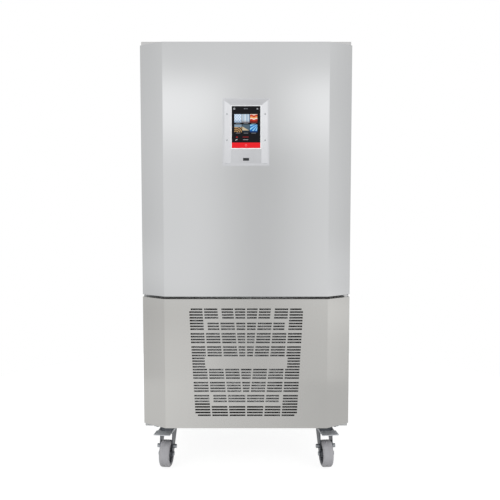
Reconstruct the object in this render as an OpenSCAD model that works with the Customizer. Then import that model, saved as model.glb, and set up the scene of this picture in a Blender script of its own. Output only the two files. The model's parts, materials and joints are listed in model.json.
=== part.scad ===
// Blast chiller: an insulated cell with a chamfered door over a machine bay, on four casters.
// Millimetres. +Z is up, the front faces -Y, and the origin is on the floor under the middle.

/* [Cabinet] */
// Overall width of the cabinet
cab_w = 790; // [760:5:900]
// Overall depth, from the flat of the door to the back
cab_d = 800; // [760:5:950]
// Overall height, from the floor to the cabinet's top
cab_h = 1640; // [1560:10:1900]
// Thickness of the insulated side walls
side_wall = 60; // [50:1:70]
// Thickness of the insulated back wall
back_wall = 60; // [40:1:80]
// Thickness of the insulated floor of the cell
floor_wall = 49; // [40:1:70]
// Thickness of the insulated ceiling
top_wall = 65; // [50:1:80]
// Sheet metal thickness of the skins and liners
sheet = 1.2; // [0.8:0.1:1.5]
// Radius of the long inner corners of the cell
cell_r = 20; // [10:1:25]
// Thickness of the frame round the cell's mouth
mouth_t = 3; // [2:0.5:5]

/* [Machine bay] */
// Thickness of the base plate
base_t = 3; // [2:0.5:5]
// Side of the square frame tube
tube = 30; // [25:1:40]
// How far the rear grille stands in from the back of the cabinet
rear_in = 30; // [28:1:60]
// Height of the seam between the side covers and the cell
seam = 4; // [2:0.5:8]

/* [Door] */
// Depth of the door, from its flat to its back
door_t = 85; // [80:1:100]
// Width of the chamfer at each side of the front
chamfer_w = 90; // [60:1:120]
// Depth of the chamfer at each side of the front
chamfer_d = 64; // [50:1:64]
// Gap between the door and the cabinet, which the gasket fills
seal_gap = 8; // [7:0.5:12]
// Height of the cabinet above the door's top
top_gap = 20; // [12:1:40]
// Height of the door's bottom above the cell's underside
door_lift = 2; // [1.5:0.5:6]
// Width of the finger grip behind the left edge
grip_w = 24; // [16:1:30]
// Depth of the finger grip, from the back of the door
grip_d = 15; // [12:1:15]
// Depth of the raised inner panel
plug_t = 12; // [6:1:18]
// Gap round the raised inner panel
plug_gap = 13; // [10:1:20]
// Width of the gasket's foot
gasket_w = 18; // [14:1:20]
// Thickness of the gasket's foot
gasket_foot = 3; // [2:0.5:4]
// Clearance between the closed gasket and the frame it seals on
seal_clear = 0.3; // [0.2:0.1:0.5]

/* [Hinges] */
// Distance of the hinge axis in from the cabinet's side
hinge_in = 17; // [16:0.5:17]
// Distance of the hinge axis in front of the cabinet's mouth
hinge_out = 26; // [26:0.5:28]
// Thickness of the hinge plates
hinge_t = 4; // [3:0.5:5]
// Radius of the rounded end of the hinge plates
hinge_r = 12; // [10:0.5:12]
// How far a hinge plate reaches behind the mouth
hinge_back = 60; // [40:1:80]
// Radius of the hinge pins
pin_r = 5; // [4:0.5:6]
// Length of a hinge pin inside the door or the panel
pin_l = 25; // [15:1:35]
// Wall of the bush round a hinge pin
bush_t = 4; // [2.5:0.5:4]
// Running clearance of the pins, axles and shafts
run = 0.05; // [0.02:0.01:0.1]
// Clearance under a swinging part
lift_clear = 0.3; // [0.2:0.1:0.5]

/* [Service panel] */
// Gap between the door and the service panel
mid_gap = 9.5; // [9:0.5:14]
// Height of the service panel's bottom above the base's underside
panel_lift = 21; // [16:1:30]
// Sheet thickness of the service panel
panel_t = 1.5; // [1:0.1:2]
// Width of the panel's folded flanges
flange = 22; // [22:1:30]
// Width of the lips folded in at the back of the panel
lip = 16; // [12:1:20]
// Distance of the first row of slots below the panel's top
grille_drop = 38; // [30:1:60]
// Pitch of the rows of slots
row_pitch = 10.75; // [9:0.25:11]
// Height of a slot
slot_h = 6; // [4:0.5:7]
// Width of the ribs between slots
rib_w = 6; // [4:0.5:8]
// Extra gap between the blocks of rows
block_gap = 7; // [4:0.5:10]
// Half width of the slotted area at the first row
grille_half = 213; // [180:1:225]

/* [Control panel] */
// Width of the bezel
bezel_w = 173; // [160:1:200]
// Height of the bezel
bezel_h = 246; // [220:1:280]
// Height of the bezel's middle above the door's bottom
bezel_up = 607; // [400:1:700]
// Depth of the bezel moulding
bezel_t = 14; // [12:1:18]
// Width of the bezel's sloped border
border = 10; // [6:1:14]
// Depth of the bezel's dish
dish = 5; // [3:0.5:7]
// Width of the touch screen
screen_w = 105; // [90:1:120]
// Height of the touch screen
screen_h = 152; // [120:1:170]
// Height of the screen's middle above the bezel's middle
screen_up = 18.5; // [10:0.5:25]
// Thickness of the touch screen
screen_t = 4; // [3:0.5:6]
// How far the screen stands out of the dish
screen_out = 1.5; // [1:0.5:2.5]
// Depth of the pocket in the door behind the bezel
pocket_d = 45; // [35:1:50]
// Width of the port cover
flap_w = 22; // [16:1:30]
// Height of the port cover
flap_h = 11; // [8:1:14]
// Depth of the port cover's middle below the bezel's middle
flap_down = 99; // [95:0.5:104]

/* [Cell fittings] */
// Height from one tray level to the next
level_pitch = 75; // [60:1:90]
// Height of the lowest tray level above the cell's floor
level_first = 55; // [30:1:75]
// Least height above the highest tray level
level_last = 80; // [60:1:120]
// Gap between a tray and the cell's side wall
tray_gap = 35; // [30:1:45]
// How far a runner reaches under a tray
tray_bite = 17; // [10:1:25]
// Length of the runners
runner_l = 385; // [300:5:385]
// Distance of the runners' front ends behind the mouth
runner_in = 17; // [10:1:17]
// Thickness of the runners' sheet
runner_t = 2; // [1.5:0.5:3]
// Height of a runner's upright leg
runner_h = 20; // [12:1:25]
// Side of the rack's uprights, across the cell
upright_x = 12; // [8:1:16]
// Side of the rack's uprights, along the cell
upright_y = 20; // [12:1:30]
// Distance of the fan panel in front of the cell's back wall
plenum = 175; // [175:1:185]
// Radius of the evaporator fans
fan_r = 128; // [100:1:135]
// Distance between the evaporator fans' axes
fan_pitch = 336; // [300:2:380]
// Gap between a fan and its opening in the panel
fan_gap = 7; // [4:1:12]
// Depth of the evaporator fans
fan_t = 24; // [18:1:26]
// Radius of the evaporator fans' motors
motor_r = 38; // [30:1:42]
// Length of the evaporator fans' motors
motor_l = 39; // [30:1:39]
// Number of evaporator fins
evap_fins = 32; // [10:1:40]
// Gap between the evaporator's fins and the cell's side walls
evap_side = 85; // [80:1:120]
// Gap between the evaporator's fins and the cell's floor and ceiling
evap_end = 70; // [70:1:120]
// Depth of the evaporator's fins
evap_d = 120; // [100:1:125]
// Number of tube rows in the evaporator
evap_rows = 8; // [4:1:8]

/* [Machinery] */
// Width of the condenser's core
cond_w = 420; // [340:5:440]
// Height of the condenser's core
cond_h = 400; // [360:5:460]
// Depth of the condenser's core
cond_d = 60; // [50:1:60]
// Number of condenser fins
cond_fins = 42; // [10:1:60]
// Number of tube rows in the condenser
cond_rows = 9; // [5:2:9]
// Height of the condenser's core above the base plate
cond_up = 82; // [60:1:82]
// Height from the condenser's core to the cell's underside
cond_gap = 36; // [34:1:60]
// Depth of the fan shroud
shroud_d = 60; // [40:1:60]
// Radius of the condenser fan
cfan_r = 158; // [120:1:160]
// Depth of the condenser fan
cfan_t = 32; // [24:1:36]
// Radius of the compressor's shell
comp_r = 100; // [80:1:105]
// Height of the compressor's shell
comp_h = 310; // [240:5:340]
// Radius of the liquid receiver
recv_r = 55; // [40:1:60]
// Height of the liquid receiver
recv_h = 300; // [220:5:340]
// Width of the electrical box
ebox_w = 150; // [120:1:160]
// Depth of the electrical box
ebox_d = 220; // [160:5:240]
// Height of the electrical box
ebox_h = 380; // [280:5:420]

/* [Casters] */
// Height of the casters, from the floor to the base's underside
caster_h = 165; // [160:1:180]
// Distance of the swivel axes from the middle plane
caster_x = 309; // [280:1:320]
// Distance of the front swivel axes behind the flat of the door
caster_front = 138; // [138:1:180]
// Distance of the rear swivel axes in front of the cabinet's back
caster_back = 138; // [120:1:180]
// Radius of the wheels
wheel_r = 52; // [45:1:52]
// Width of the tyres
tyre_w = 40; // [30:1:42]
// Thickness of the tyres
tyre_t = 12; // [8:1:14]
// Rounding of the tyres' shoulders
tyre_edge = 8; // [3:1:10]
// How far the wheel trails behind its swivel axis
trail = 40; // [36:1:44]
// Radius of the axles
axle_r = 5; // [4:0.5:6]
// Thickness of the fork's legs
fork_t = 4; // [3:0.5:5]
// Gap between the tyre and a leg of the fork
fork_gap = 2; // [1.5:0.5:4]
// Turn of the front wheels about their swivel axes, in degrees
front_turn = 7; // [0:1:30]
// Turn of the rear wheels about their swivel axes, in degrees
rear_turn = 12; // [0:1:30]
// Width of the caster's mounting plate
plate_w = 105; // [100:1:115]
// Depth of the caster's mounting plate
plate_d = 85; // [80:1:90]
// Thickness of the caster's mounting plate
plate_t = 4; // [3:0.5:6]
// Hole spacing of the mounting plate across
bolt_x = 80; // [78:1:86]
// Hole spacing of the mounting plate along
bolt_y = 60; // [58:1:64]
// Radius of the caster's bolts
bolt_r = 4; // [3:0.5:4.5]
// Clearance round the caster's bolts
bolt_clear = 0.5; // [0.2:0.1:1]

/* [Hidden] */
$fn = 64;

// A small overlap for cutters, so that no skin is left at a face
eps = 1;

// Planes of the cabinet
half_w = cab_w / 2;
front_y = -cab_d / 2;
back_y = cab_d / 2;
door_back_y = front_y + door_t;
mouth_y = door_back_y + seal_gap;
skin_x = half_w - sheet;

// Heights, from the floor up
base_z = caster_h;
deck_z = base_z + base_t;
bay_h = base_t + cond_up + cond_h + cond_gap;
panel_z0 = base_z + panel_lift;
hinge_gap = lift_clear + 0.2;
low_hinge_z = panel_z0 - hinge_gap - hinge_t;
rail_top = low_hinge_z;
cell_z = base_z + bay_h;
mid_hinge_z = cell_z - hinge_t;
door_z0 = cell_z + door_lift;
door_z1 = cab_h - top_gap;
panel_z1 = door_z0 - mid_gap;
top_hinge_z = door_z1 + hinge_gap;
cover_z1 = cell_z - seam;

// The cell's clear inside
in_x = half_w - side_wall;
in_z0 = cell_z + floor_wall;
in_z1 = cab_h - top_wall;
in_back = back_y - back_wall;

// Trays and levels
tray_w = 2 * (in_x - tray_gap);
levels = floor((in_z1 - in_z0 - level_first - level_last) / level_pitch) + 1;

// Hinge axis
hinge_x = half_w - hinge_in;
hinge_y = mouth_y - hinge_out;
bush_r = pin_r + bush_t;

// Machine bay
frame_y1 = back_y - rear_in;
post_x = skin_x - tube;

// Fan panel and fans
fan_panel_t = 1.5;
fan_panel_y = in_back - plenum;
cell_mid = (in_z0 + in_z1) / 2;
fan_z = [cell_mid - fan_pitch / 2, cell_mid + fan_pitch / 2];
guard_d = 65;
guard_y = fan_panel_y - guard_d;
guard_over = 14;
guard_wire = 1.5;
guard_plate_t = 3;
motor_y = guard_y + guard_plate_t - guard_wire;
fan_y = fan_panel_y - fan_t / 2;
fan_shaft_r = 4;
fan_hub_r = 28;

// Evaporator
evap_w = 2 * (in_x - evap_side);
evap_h = in_z1 - in_z0 - 2 * evap_end;
evap_y = fan_panel_y + 30;
evap_z = cell_mid - evap_h / 2;
evap_tube_r = 6;
evap_fin_t = 0.8;
evap_plate_t = 2;
plate_over = 10;
tube_clear = 0.1;
evap_columns = [evap_y + evap_d * 0.25, evap_y + evap_d * 0.75];

// Condenser
cond_z = deck_z + cond_up;
cond_rest = 8;
cond_y = mouth_y + tube - cond_rest;
cond_tube_r = 5;
cond_plate_t = 2;
cond_columns = [cond_y + cond_d * 0.27, cond_y + cond_d * 0.73];
cond_mid = cond_z + cond_h / 2;
shroud_y = cond_y + cond_d;
cfan_y = shroud_y + shroud_d + 5;
cfan_gap = 7;
cfan_hub_r = 35;
cfan_shaft_r = 6;
cmotor_r = 45;
cmotor_l = 75;
cmotor_y = cfan_y + cfan_t + 8;

// Places of the machinery on the base plate
recv_at = [20, frame_y1 - 180];
drier_at = [20, frame_y1 - 310];
drier_r = 24;
drier_h = 110;
pipe_r = 5;
suction_r = 8;
pass_clear = 0.2;
riser_at = [-evap_w / 2 - 50, evap_columns[0]];
suction_at = [-evap_w / 2 - 55, evap_columns[1]];
riser_gap = 10;
comp_at = [riser_at[0] + comp_r + riser_gap, frame_y1 - 240];
drain_at = [0, evap_y + evap_d / 2];
drain_r = 12;
ebox_gap = 20;
ebox_at = [half_w - tube - ebox_gap - ebox_w, cmotor_y + 60];
ebox_t = 1.5;

// Casters
plate_z = base_z - plate_t;
race_z = plate_z - 8;
crown_z1 = race_z - 0.3;
crown_z0 = crown_z1 - 15;
kingpin_r = 6;
fork_in = tyre_w / 2 + fork_gap;
fork_out = fork_in + fork_t;
hub_half = fork_in - 0.3;
pedal_pivot = [14, crown_z0 + 7];
pedal_pin_r = 4;
CASTERS = [
    [-caster_x, front_y + caster_front, -front_turn],
    [caster_x, front_y + caster_front, front_turn],
    [-caster_x, back_y - caster_back, -rear_turn],
    [caster_x, back_y - caster_back, rear_turn]
];

// ---- helpers ----

function unit(v) = v / norm(v);
function left_of(v) = [-v[1], v[0]];
// The next lower multiple of half a millimetre, which the tube rows are spaced on
function half_step(v) = floor(2 * v) / 2;
// The outline moved inward by d, its corners mitred; the points run anticlockwise
function inset(p, d) = [
    for (i = [0:len(p) - 1])
        let (
            n = len(p),
            a = left_of(unit(p[i] - p[(i + n - 1) % n])),
            b = left_of(unit(p[(i + 1) % n] - p[i]))
        )
        p[i] + d * (a + b) / (1 + a * b)
];

// A box between two corners
module block(a, b) {
    translate(a) cube(b - a);
}

// A round rod between two points
module rod(a, b, r) {
    v = b - a;
    translate(a) rotate([0, acos(v[2] / norm(v)), atan2(v[1], v[0])]) cylinder(r = r, h = norm(v));
}

// A cylinder along +Y
module along_y(r, h) {
    rotate([-90, 0, 0]) cylinder(r = r, h = h);
}

// A cylinder along +X
module along_x(r, h) {
    rotate([0, 90, 0]) cylinder(r = r, h = h);
}

// A pipe along a list of points, with a soldered elbow at each corner
module pipe(points, r) {
    for (i = [0:len(points) - 2]) rod(points[i], points[i + 1], r);
    for (i = [1:len(points) - 2]) translate(points[i]) sphere(r = r + 1);
}

// A square with round corners, extruded along +Y from y0 to y1
module round_bar(half_x, z0, z1, r, y0, y1) {
    translate([0, y1, 0]) rotate([90, 0, 0]) linear_extrude(y1 - y0) {
        translate([-half_x, z0 + r]) square([2 * half_x, z1 - z0 - 2 * r]);
        translate([-half_x + r, z0]) square([2 * half_x - 2 * r, z1 - z0]);
        for (x = [-half_x + r, half_x - r], z = [z0 + r, z1 - r])
            translate([x, z]) circle(r = r);
    }
}

// A flat ring facing -Y: outer and inner half widths and heights
module frame_ring(out_x, out_z0, out_z1, w, y0, y1) {
    difference() {
        block([-out_x, y0, out_z0], [out_x, y1, out_z1]);
        block([-out_x + w, y0 - eps, out_z0 + w], [out_x - w, y1 + eps, out_z1 - w]);
    }
}

// ---- base frame and machine bay ----

module base_frame() {
    color("#8f9294") {
        difference() {
            union() {
                block([-skin_x, mouth_y, base_z], [skin_x, frame_y1, deck_z]);
                frame_level(deck_z, rail_top);
                frame_level(cell_z - tube, cell_z);
                for (x = [-skin_x, post_x], y = [mouth_y, frame_y1 - tube])
                    translate([x, y, deck_z]) cube([tube, tube, cell_z - deck_z]);
            }
            for (c = CASTERS) translate([c[0], c[1], 0]) caster_bolt_holes(base_z - eps, deck_z + eps);
            translate([0, 0, mid_hinge_z]) hinge_plate_space(hinge_t + eps);
            translate([0, 0, low_hinge_z]) hinge_plate_space(hinge_t);
        }
    }
}

// One level of square tubes round the bay
module frame_level(z0, z1) {
    difference() {
        block([-skin_x, mouth_y, z0], [skin_x, frame_y1, z1]);
        block([-post_x, mouth_y + tube, z0 - eps], [post_x, frame_y1 - tube, z1 + eps]);
    }
}

module caster_bolt_holes(z0, z1) {
    for (x = [-bolt_x / 2, bolt_x / 2], y = [-bolt_y / 2, bolt_y / 2])
        translate([x, y, z0]) cylinder(r = bolt_r + bolt_clear, h = z1 - z0);
}

module side_cover(side) {
    rear_flange = 20;
    color("#b9bab8") {
        block([min(side * skin_x, side * half_w), mouth_y, base_z],
              [max(side * skin_x, side * half_w), back_y, cover_z1]);
        block([min(side * (half_w - rear_flange), side * skin_x), back_y - sheet, base_z],
              [max(side * (half_w - rear_flange), side * skin_x), back_y, cover_z1]);
    }
}
module side_cover_left() { side_cover(-1); }
module side_cover_right() { side_cover(1); }

module rear_grille() {
    louvre_w = 150;
    louvre_h = 8;
    louvre_pitch = 22;
    louvre_gap = 35;
    louvre_x = -half_w + 135;
    louvre_z0 = deck_z + 110;
    rows = floor((cover_z1 - tube - louvre_z0) / louvre_pitch);
    color("#a7a8a6") difference() {
        block([-skin_x, frame_y1, deck_z], [skin_x, frame_y1 + sheet, cover_z1]);
        for (i = [0:rows - 1], k = [0:2])
            translate([louvre_x + k * (louvre_w + louvre_gap), 0, louvre_z0 + i * louvre_pitch])
                block([0, frame_y1 - eps, 0], [louvre_w, frame_y1 + sheet + eps, louvre_h]);
        translate([gland_at[0], frame_y1 - eps, gland_at[1]])
            along_y(gland_r + gland_clear, sheet + 2 * eps);
    }
}
gland_at = [half_w - 95, deck_z + 60];
gland_r = 10;
gland_clear = 0.2;

module mains_gland() {
    nut_r = 15;
    nut_t = 6;
    cap_r = 13;
    cap_l = 16;
    cord_r = 6;
    color("#2a2b2c") translate([gland_at[0], 0, gland_at[1]]) difference() {
        union() {
            translate([0, frame_y1 - nut_t, 0]) along_y(nut_r, nut_t);
            translate([0, frame_y1, 0]) along_y(gland_r, sheet);
            translate([0, frame_y1 + sheet, 0]) along_y(nut_r + 1, nut_t);
            translate([0, frame_y1 + sheet + nut_t, 0]) along_y(cap_r, cap_l);
        }
        translate([0, frame_y1 - nut_t - eps, 0]) along_y(cord_r, 2 * nut_t + sheet + cap_l + 2 * eps);
    }
}

module fasteners() {
    head_r = bolt_r * 1.6;
    head_h = bolt_r * 1.3;
    screw_head_r = 5;
    screw_head_t = 2;
    color("#c9cbcc") {
        for (c = CASTERS, x = [-bolt_x / 2, bolt_x / 2], y = [-bolt_y / 2, bolt_y / 2])
            translate([c[0] + x, c[1] + y, plate_z]) {
                cylinder(r = bolt_r, h = deck_z - plate_z);
                translate([0, 0, -head_h]) cylinder(r = head_r, h = head_h, $fn = 6);
            }
        for (x = [-skin_x + tube / 2, skin_x - tube / 2], z = [deck_z + 60, cover_z1 - 40])
            translate([x, frame_y1 + sheet, z]) along_y(screw_head_r, screw_head_t);
    }
}

// ---- insulated cabinet ----

module cabinet_shell() {
    color("#bcbdbb") difference() {
        block([-half_w, mouth_y, cell_z], [half_w, back_y, cab_h]);
        block([-skin_x, mouth_y - eps, cell_z + sheet], [skin_x, back_y + eps, cab_h - sheet]);
        floor_holes(cell_z - eps, cell_z + sheet + eps);
    }
}

// Holes for the drain and the refrigerant lines through the cell's floor
module floor_holes(z0, z1) {
    translate([drain_at[0], drain_at[1], z0]) cylinder(r = drain_r + pass_clear, h = z1 - z0);
    translate([riser_at[0], riser_at[1], z0]) cylinder(r = pipe_r + pass_clear, h = z1 - z0);
    translate([suction_at[0], suction_at[1], z0]) cylinder(r = suction_r + pass_clear, h = z1 - z0);
}

module cabinet_back() {
    color("#a7a8a6") block([-skin_x, back_y - sheet, cell_z + sheet], [skin_x, back_y, cab_h - sheet]);
}

module cabinet_foam() {
    color("#e6d9a8") difference() {
        block([-skin_x, mouth_y + mouth_t, cell_z + sheet], [skin_x, back_y - sheet, cab_h - sheet]);
        liner_outer(mouth_y - eps);
        floor_holes(cell_z, in_z0);
        translate([0, 0, top_hinge_z]) hinge_plate_space(hinge_t);
    }
}

// The outside of the cell's liner, from y0 back to its rear face
module liner_outer(y0) {
    round_bar(in_x + sheet, in_z0 - sheet, in_z1 + sheet, cell_r + sheet, y0, in_back + sheet);
}

module cell_liner() {
    color("#d3d5d6") difference() {
        liner_outer(mouth_y);
        round_bar(in_x, in_z0, in_z1, cell_r, mouth_y - eps, in_back);
        floor_holes(in_z0 - sheet - eps, in_z0 + eps);
    }
}

module mouth_frame() {
    color("#c4c6c6") difference() {
        block([-skin_x, mouth_y, cell_z + sheet], [skin_x, mouth_y + mouth_t, cab_h - sheet]);
        liner_outer(mouth_y - eps);
        translate([0, 0, top_hinge_z]) hinge_plate_space(hinge_t);
    }
}

// ---- hinges and catches ----

// The room of a hinge plate behind the mouth
module hinge_plate_space(h) {
    block([hinge_x - hinge_r, mouth_y - eps, 0], [hinge_x + hinge_r, mouth_y + hinge_back, h]);
}

// A hinge plate: a tongue with a round end on the hinge axis
module hinge_plate() {
    translate([hinge_x, hinge_y, 0]) cylinder(r = hinge_r, h = hinge_t);
    block([hinge_x - hinge_r, hinge_y, 0], [hinge_x + hinge_r, mouth_y + hinge_back, hinge_t]);
}

module hinge_plates() {
    collar_r = bush_r - 1;
    color("#9a9da0") {
        translate([0, 0, top_hinge_z]) hinge_plate();
        hinge_pin(door_z1 - pin_l, top_hinge_z);
        translate([0, 0, mid_hinge_z]) hinge_plate();
        hinge_pin(cell_z, door_z0 + pin_l);
        hinge_pin(panel_z1 - pin_l, mid_hinge_z);
        translate([hinge_x, hinge_y, cell_z]) cylinder(r = collar_r, h = door_lift - lift_clear);
        translate([hinge_x, hinge_y, panel_z1 + lift_clear])
            cylinder(r = collar_r, h = mid_hinge_z - panel_z1 - lift_clear);
        translate([0, 0, low_hinge_z]) hinge_plate();
        hinge_pin(low_hinge_z + hinge_t, panel_z0 + pin_l);
    }
}

module hinge_pin(z0, z1) {
    translate([hinge_x, hinge_y, z0]) cylinder(r = pin_r, h = z1 - z0);
}

module panel_catches() {
    catch_w = 14;
    catch_h = 44;
    x0 = -half_w + 4;
    from_end = 90;
    color("#303234") for (z = [panel_z0 + from_end, panel_z1 - from_end])
        block([x0, door_back_y + seal_clear, z - catch_h / 2],
              [x0 + catch_w, mouth_y, z + catch_h / 2]);
}

// ---- tray racks ----

upright_y0 = [mouth_y + runner_in + 30, mouth_y + runner_in + runner_l - 30 - upright_y];
rack_z0 = in_z0 + cell_r + 5;
rack_z1 = in_z1 - cell_r - 5;
runner_x = in_x - upright_x;

module rack_uprights() {
    color("#c6c8c8") for (s = [-1, 1], y = upright_y0)
        block([min(s * runner_x, s * in_x), y, rack_z0],
              [max(s * runner_x, s * in_x), y + upright_y, rack_z1]);
}

module runners(side) {
    color("#cfd1d1") for (i = [0:levels - 1]) {
        z = in_z0 + level_first + i * level_pitch;
        inner = tray_w / 2 - tray_bite;
        y0 = mouth_y + runner_in;
        mirror([side < 0 ? 1 : 0, 0, 0]) {
            block([inner, y0, z - runner_t], [runner_x, y0 + runner_l, z]);
            block([runner_x - runner_t, y0, z], [runner_x, y0 + runner_l, z - runner_t + runner_h]);
        }
    }
}
module runners_left() { runners(-1); }
module runners_right() { runners(1); }

// ---- cold side: fans, evaporator, drip tray ----

module fan_panel() {
    return_gap = 40;
    color("#c6c8c8") difference() {
        block([-in_x, fan_panel_y, in_z0 + return_gap], [in_x, fan_panel_y + fan_panel_t, in_z1 - cell_r]);
        for (z = fan_z)
            translate([0, fan_panel_y - eps, z]) along_y(fan_r + fan_gap, fan_panel_t + 2 * eps);
    }
}

// A wire guard in front of each fan, with the plate that carries the motor
module fan_guards() {
    rings = 4;
    spoke_r = guard_wire * 1.4;
    foot_r = guard_wire * 1.8;
    ring_step = (fan_r + guard_over - motor_r) / rings;
    color("#b4b7b9") for (z = fan_z) translate([0, guard_y, z]) {
        translate([0, -guard_wire, 0]) along_y(motor_r + 4, guard_plate_t);
        for (i = [1:rings]) rotate([90, 0, 0]) rotate_extrude()
            translate([motor_r + i * ring_step, 0]) circle(r = guard_wire);
        for (a = [45:90:315]) rotate([0, a, 0]) {
            translate([motor_r, 0, 0]) along_x(spoke_r, fan_r + guard_over - motor_r);
            translate([fan_r + guard_over, 0, 0]) along_y(foot_r, guard_d);
        }
    }
}

module evaporator_motors() {
    color("#3a3d40") for (z = fan_z) translate([0, motor_y, z]) {
        along_y(motor_r, motor_l);
        translate([0, motor_l, 0]) along_y(fan_shaft_r, fan_y + fan_t - motor_y - motor_l);
    }
}

// An axial fan about +Y: a hub with a bore and flat blades set at an angle
module axial_fan(r, t, hub_r, shaft_r, blades) {
    difference() {
        union() {
            along_y(hub_r, t);
            for (i = [0:blades - 1]) rotate([0, i * 360 / blades, 0]) intersection() {
                along_y(r, t);
                translate([0, t / 2, 0]) rotate([32, 0, 0])
                    translate([hub_r * 0.8, -1, -r * 0.28]) cube([r, 2, r * 0.56]);
            }
        }
        translate([0, -eps, 0]) along_y(shaft_r + run, t + 2 * eps);
    }
}
module evaporator_fan(z) {
    color("#2c2f31") translate([0, fan_y, z]) axial_fan(fan_r, fan_t, fan_hub_r, fan_shaft_r, 5);
}
module evaporator_fan_upper() { evaporator_fan(fan_z[1]); }
module evaporator_fan_lower() { evaporator_fan(fan_z[0]); }

// Fins across X between two end plates; holes lists the tube centres as [y, z]
module fin_stack(w, y0, y1, z0, z1, count, fin_t, holes, hole_r) {
    pitch = w / (count + 1);
    for (i = [1:count]) translate([-w / 2 + i * pitch - fin_t / 2, 0, 0])
        fin(y0, y1, z0, z1, fin_t, holes, hole_r);
}
module fin(y0, y1, z0, z1, t, holes, hole_r) {
    rotate([90, 0, 90]) linear_extrude(t) difference() {
        translate([y0, z0]) square([y1 - y0, z1 - z0]);
        for (h = holes) translate(h) circle(r = hole_r);
    }
}

// A half turn of tube that bulges towards side * X, joining two rows in the plane y
module turn_up(x, y, z, pitch, side, r) {
    translate([x, y, z]) rotate([90, 0, 0]) rotate([0, 0, side > 0 ? -90 : 90])
        rotate_extrude(angle = 180) translate([pitch / 2, 0]) circle(r = r);
}

// A serpentine tube: rows along X in each column, joined by half turns, and the columns in series
module serpentine(columns, z0, pitch, rows, half, r) {
    for (y = columns) {
        for (i = [0:rows - 1]) rod([-half, y, z0 + i * pitch], [half, y, z0 + i * pitch], r);
        for (i = [0:rows - 2]) turn_up((i % 2 == 0 ? 1 : -1) * half, y, z0 + (i + 0.5) * pitch, pitch,
                                       i % 2 == 0 ? 1 : -1, r);
    }
    // the columns join at the left, on the row whose left end is free and that the lines don't meet
    gap = columns[1] - columns[0];
    join_z = rows % 2 == 0 ? z0 + (rows - 1) * pitch : z0;
    translate([-half, columns[0] + gap / 2, join_z]) rotate([0, 0, 90])
        rotate_extrude(angle = 180) translate([gap / 2, 0]) circle(r = r);
}

evap_pitch = half_step(evap_h / evap_rows);
evap_row_z = evap_z + evap_h / 2 - (evap_rows - 1) * evap_pitch / 2;
evap_holes = [for (y = evap_columns, i = [0:evap_rows - 1]) [y, evap_row_z + i * evap_pitch]];
evap_half = evap_w / 2 + evap_plate_t + 4;

module evaporator_fins() {
    color("#c3c9cc") {
        fin_stack(evap_w, evap_y, evap_y + evap_d, evap_z, evap_z + evap_h, evap_fins, evap_fin_t,
                  evap_holes, evap_tube_r + tube_clear);
        for (x = [-evap_w / 2 - evap_plate_t, evap_w / 2]) translate([x, 0, 0])
            fin(fan_panel_y + fan_panel_t, in_back, evap_z - plate_over, evap_z + evap_h + plate_over,
                evap_plate_t, evap_holes, evap_tube_r + tube_clear);
    }
}

module evaporator_tubes() {
    color("#b87446")
        serpentine(evap_columns, evap_row_z, evap_pitch, evap_rows, evap_half, evap_tube_r);
}

module drip_tray() {
    tray_x = evap_w / 2 + 35;
    tray_y = fan_panel_y + 20;
    tray_z = evap_z - 50;
    tray_h = 20;
    stub_z = cell_z - 30;
    stub_t = 1.5;
    color("#c6c8c8") difference() {
        union() {
            block([-tray_x, tray_y, tray_z], [tray_x, in_back, tray_z + tray_h]);
            translate([drain_at[0], drain_at[1], stub_z])
                cylinder(r = drain_r, h = tray_z - stub_z + sheet);
        }
        block([-tray_x + sheet, tray_y + sheet, tray_z + sheet],
              [tray_x - sheet, in_back - sheet, tray_z + tray_h + eps]);
        translate([drain_at[0], drain_at[1], stub_z - eps])
            cylinder(r = drain_r - stub_t, h = tray_z - stub_z + sheet + 2 * eps);
    }
}

// ---- warm side: condensing unit ----

cond_pitch = half_step(cond_h / cond_rows);
cond_row_z = cond_mid - (cond_rows - 1) * cond_pitch / 2;
cond_holes = [for (y = cond_columns, i = [0:cond_rows - 1]) [y, cond_row_z + i * cond_pitch]];
cond_half = cond_w / 2 + cond_plate_t + 3;

module condenser_fins() {
    color("#aeb4b8") {
        fin_stack(cond_w, cond_y, cond_y + cond_d, cond_z, cond_z + cond_h, cond_fins, 0.8,
                  cond_holes, cond_tube_r + tube_clear);
        for (x = [-cond_w / 2 - cond_plate_t, cond_w / 2]) translate([x, 0, 0])
            fin(cond_y, cond_y + cond_d, rail_top, cond_z + cond_h + cond_plate_t, cond_plate_t,
                cond_holes, cond_tube_r + tube_clear);
    }
}

module condenser_tubes() {
    color("#b87446")
        serpentine(cond_columns, cond_row_z, cond_pitch, cond_rows, cond_half, cond_tube_r);
}

module condenser_shroud() {
    out_x = cond_w / 2 + cond_plate_t;
    out_z0 = cond_z - cond_plate_t;
    out_z1 = cond_z + cond_h + cond_plate_t;
    ring_l = 30;
    color("#4a4d50") translate([0, shroud_y, 0]) difference() {
        union() {
            block([-out_x, 0, out_z0], [out_x, shroud_d, out_z1]);
            translate([0, 0, cond_mid]) along_y(cfan_r + cfan_gap + sheet, shroud_d + ring_l);
        }
        block([-out_x + sheet, -eps, out_z0 + sheet],
              [out_x - sheet, shroud_d - sheet, out_z1 - sheet]);
        translate([0, -eps, cond_mid]) along_y(cfan_r + cfan_gap, shroud_d + ring_l + 2 * eps);
    }
}

module condenser_motor() {
    post = 40;
    post_y = cmotor_y + 20;
    shaft_y = cfan_y + 2;
    foot = 15;
    foot_t = 5;
    color("#3a3d40") {
        translate([0, cmotor_y, cond_mid]) along_y(cmotor_r, cmotor_l);
        translate([0, shaft_y, cond_mid]) along_y(cfan_shaft_r, cmotor_y - shaft_y);
        block([-post / 2, post_y, deck_z], [post / 2, post_y + post, cond_mid - cmotor_r * 0.8]);
        block([-post, post_y - foot, deck_z], [post, post_y + post + foot, deck_z + foot_t]);
    }
}

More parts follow.
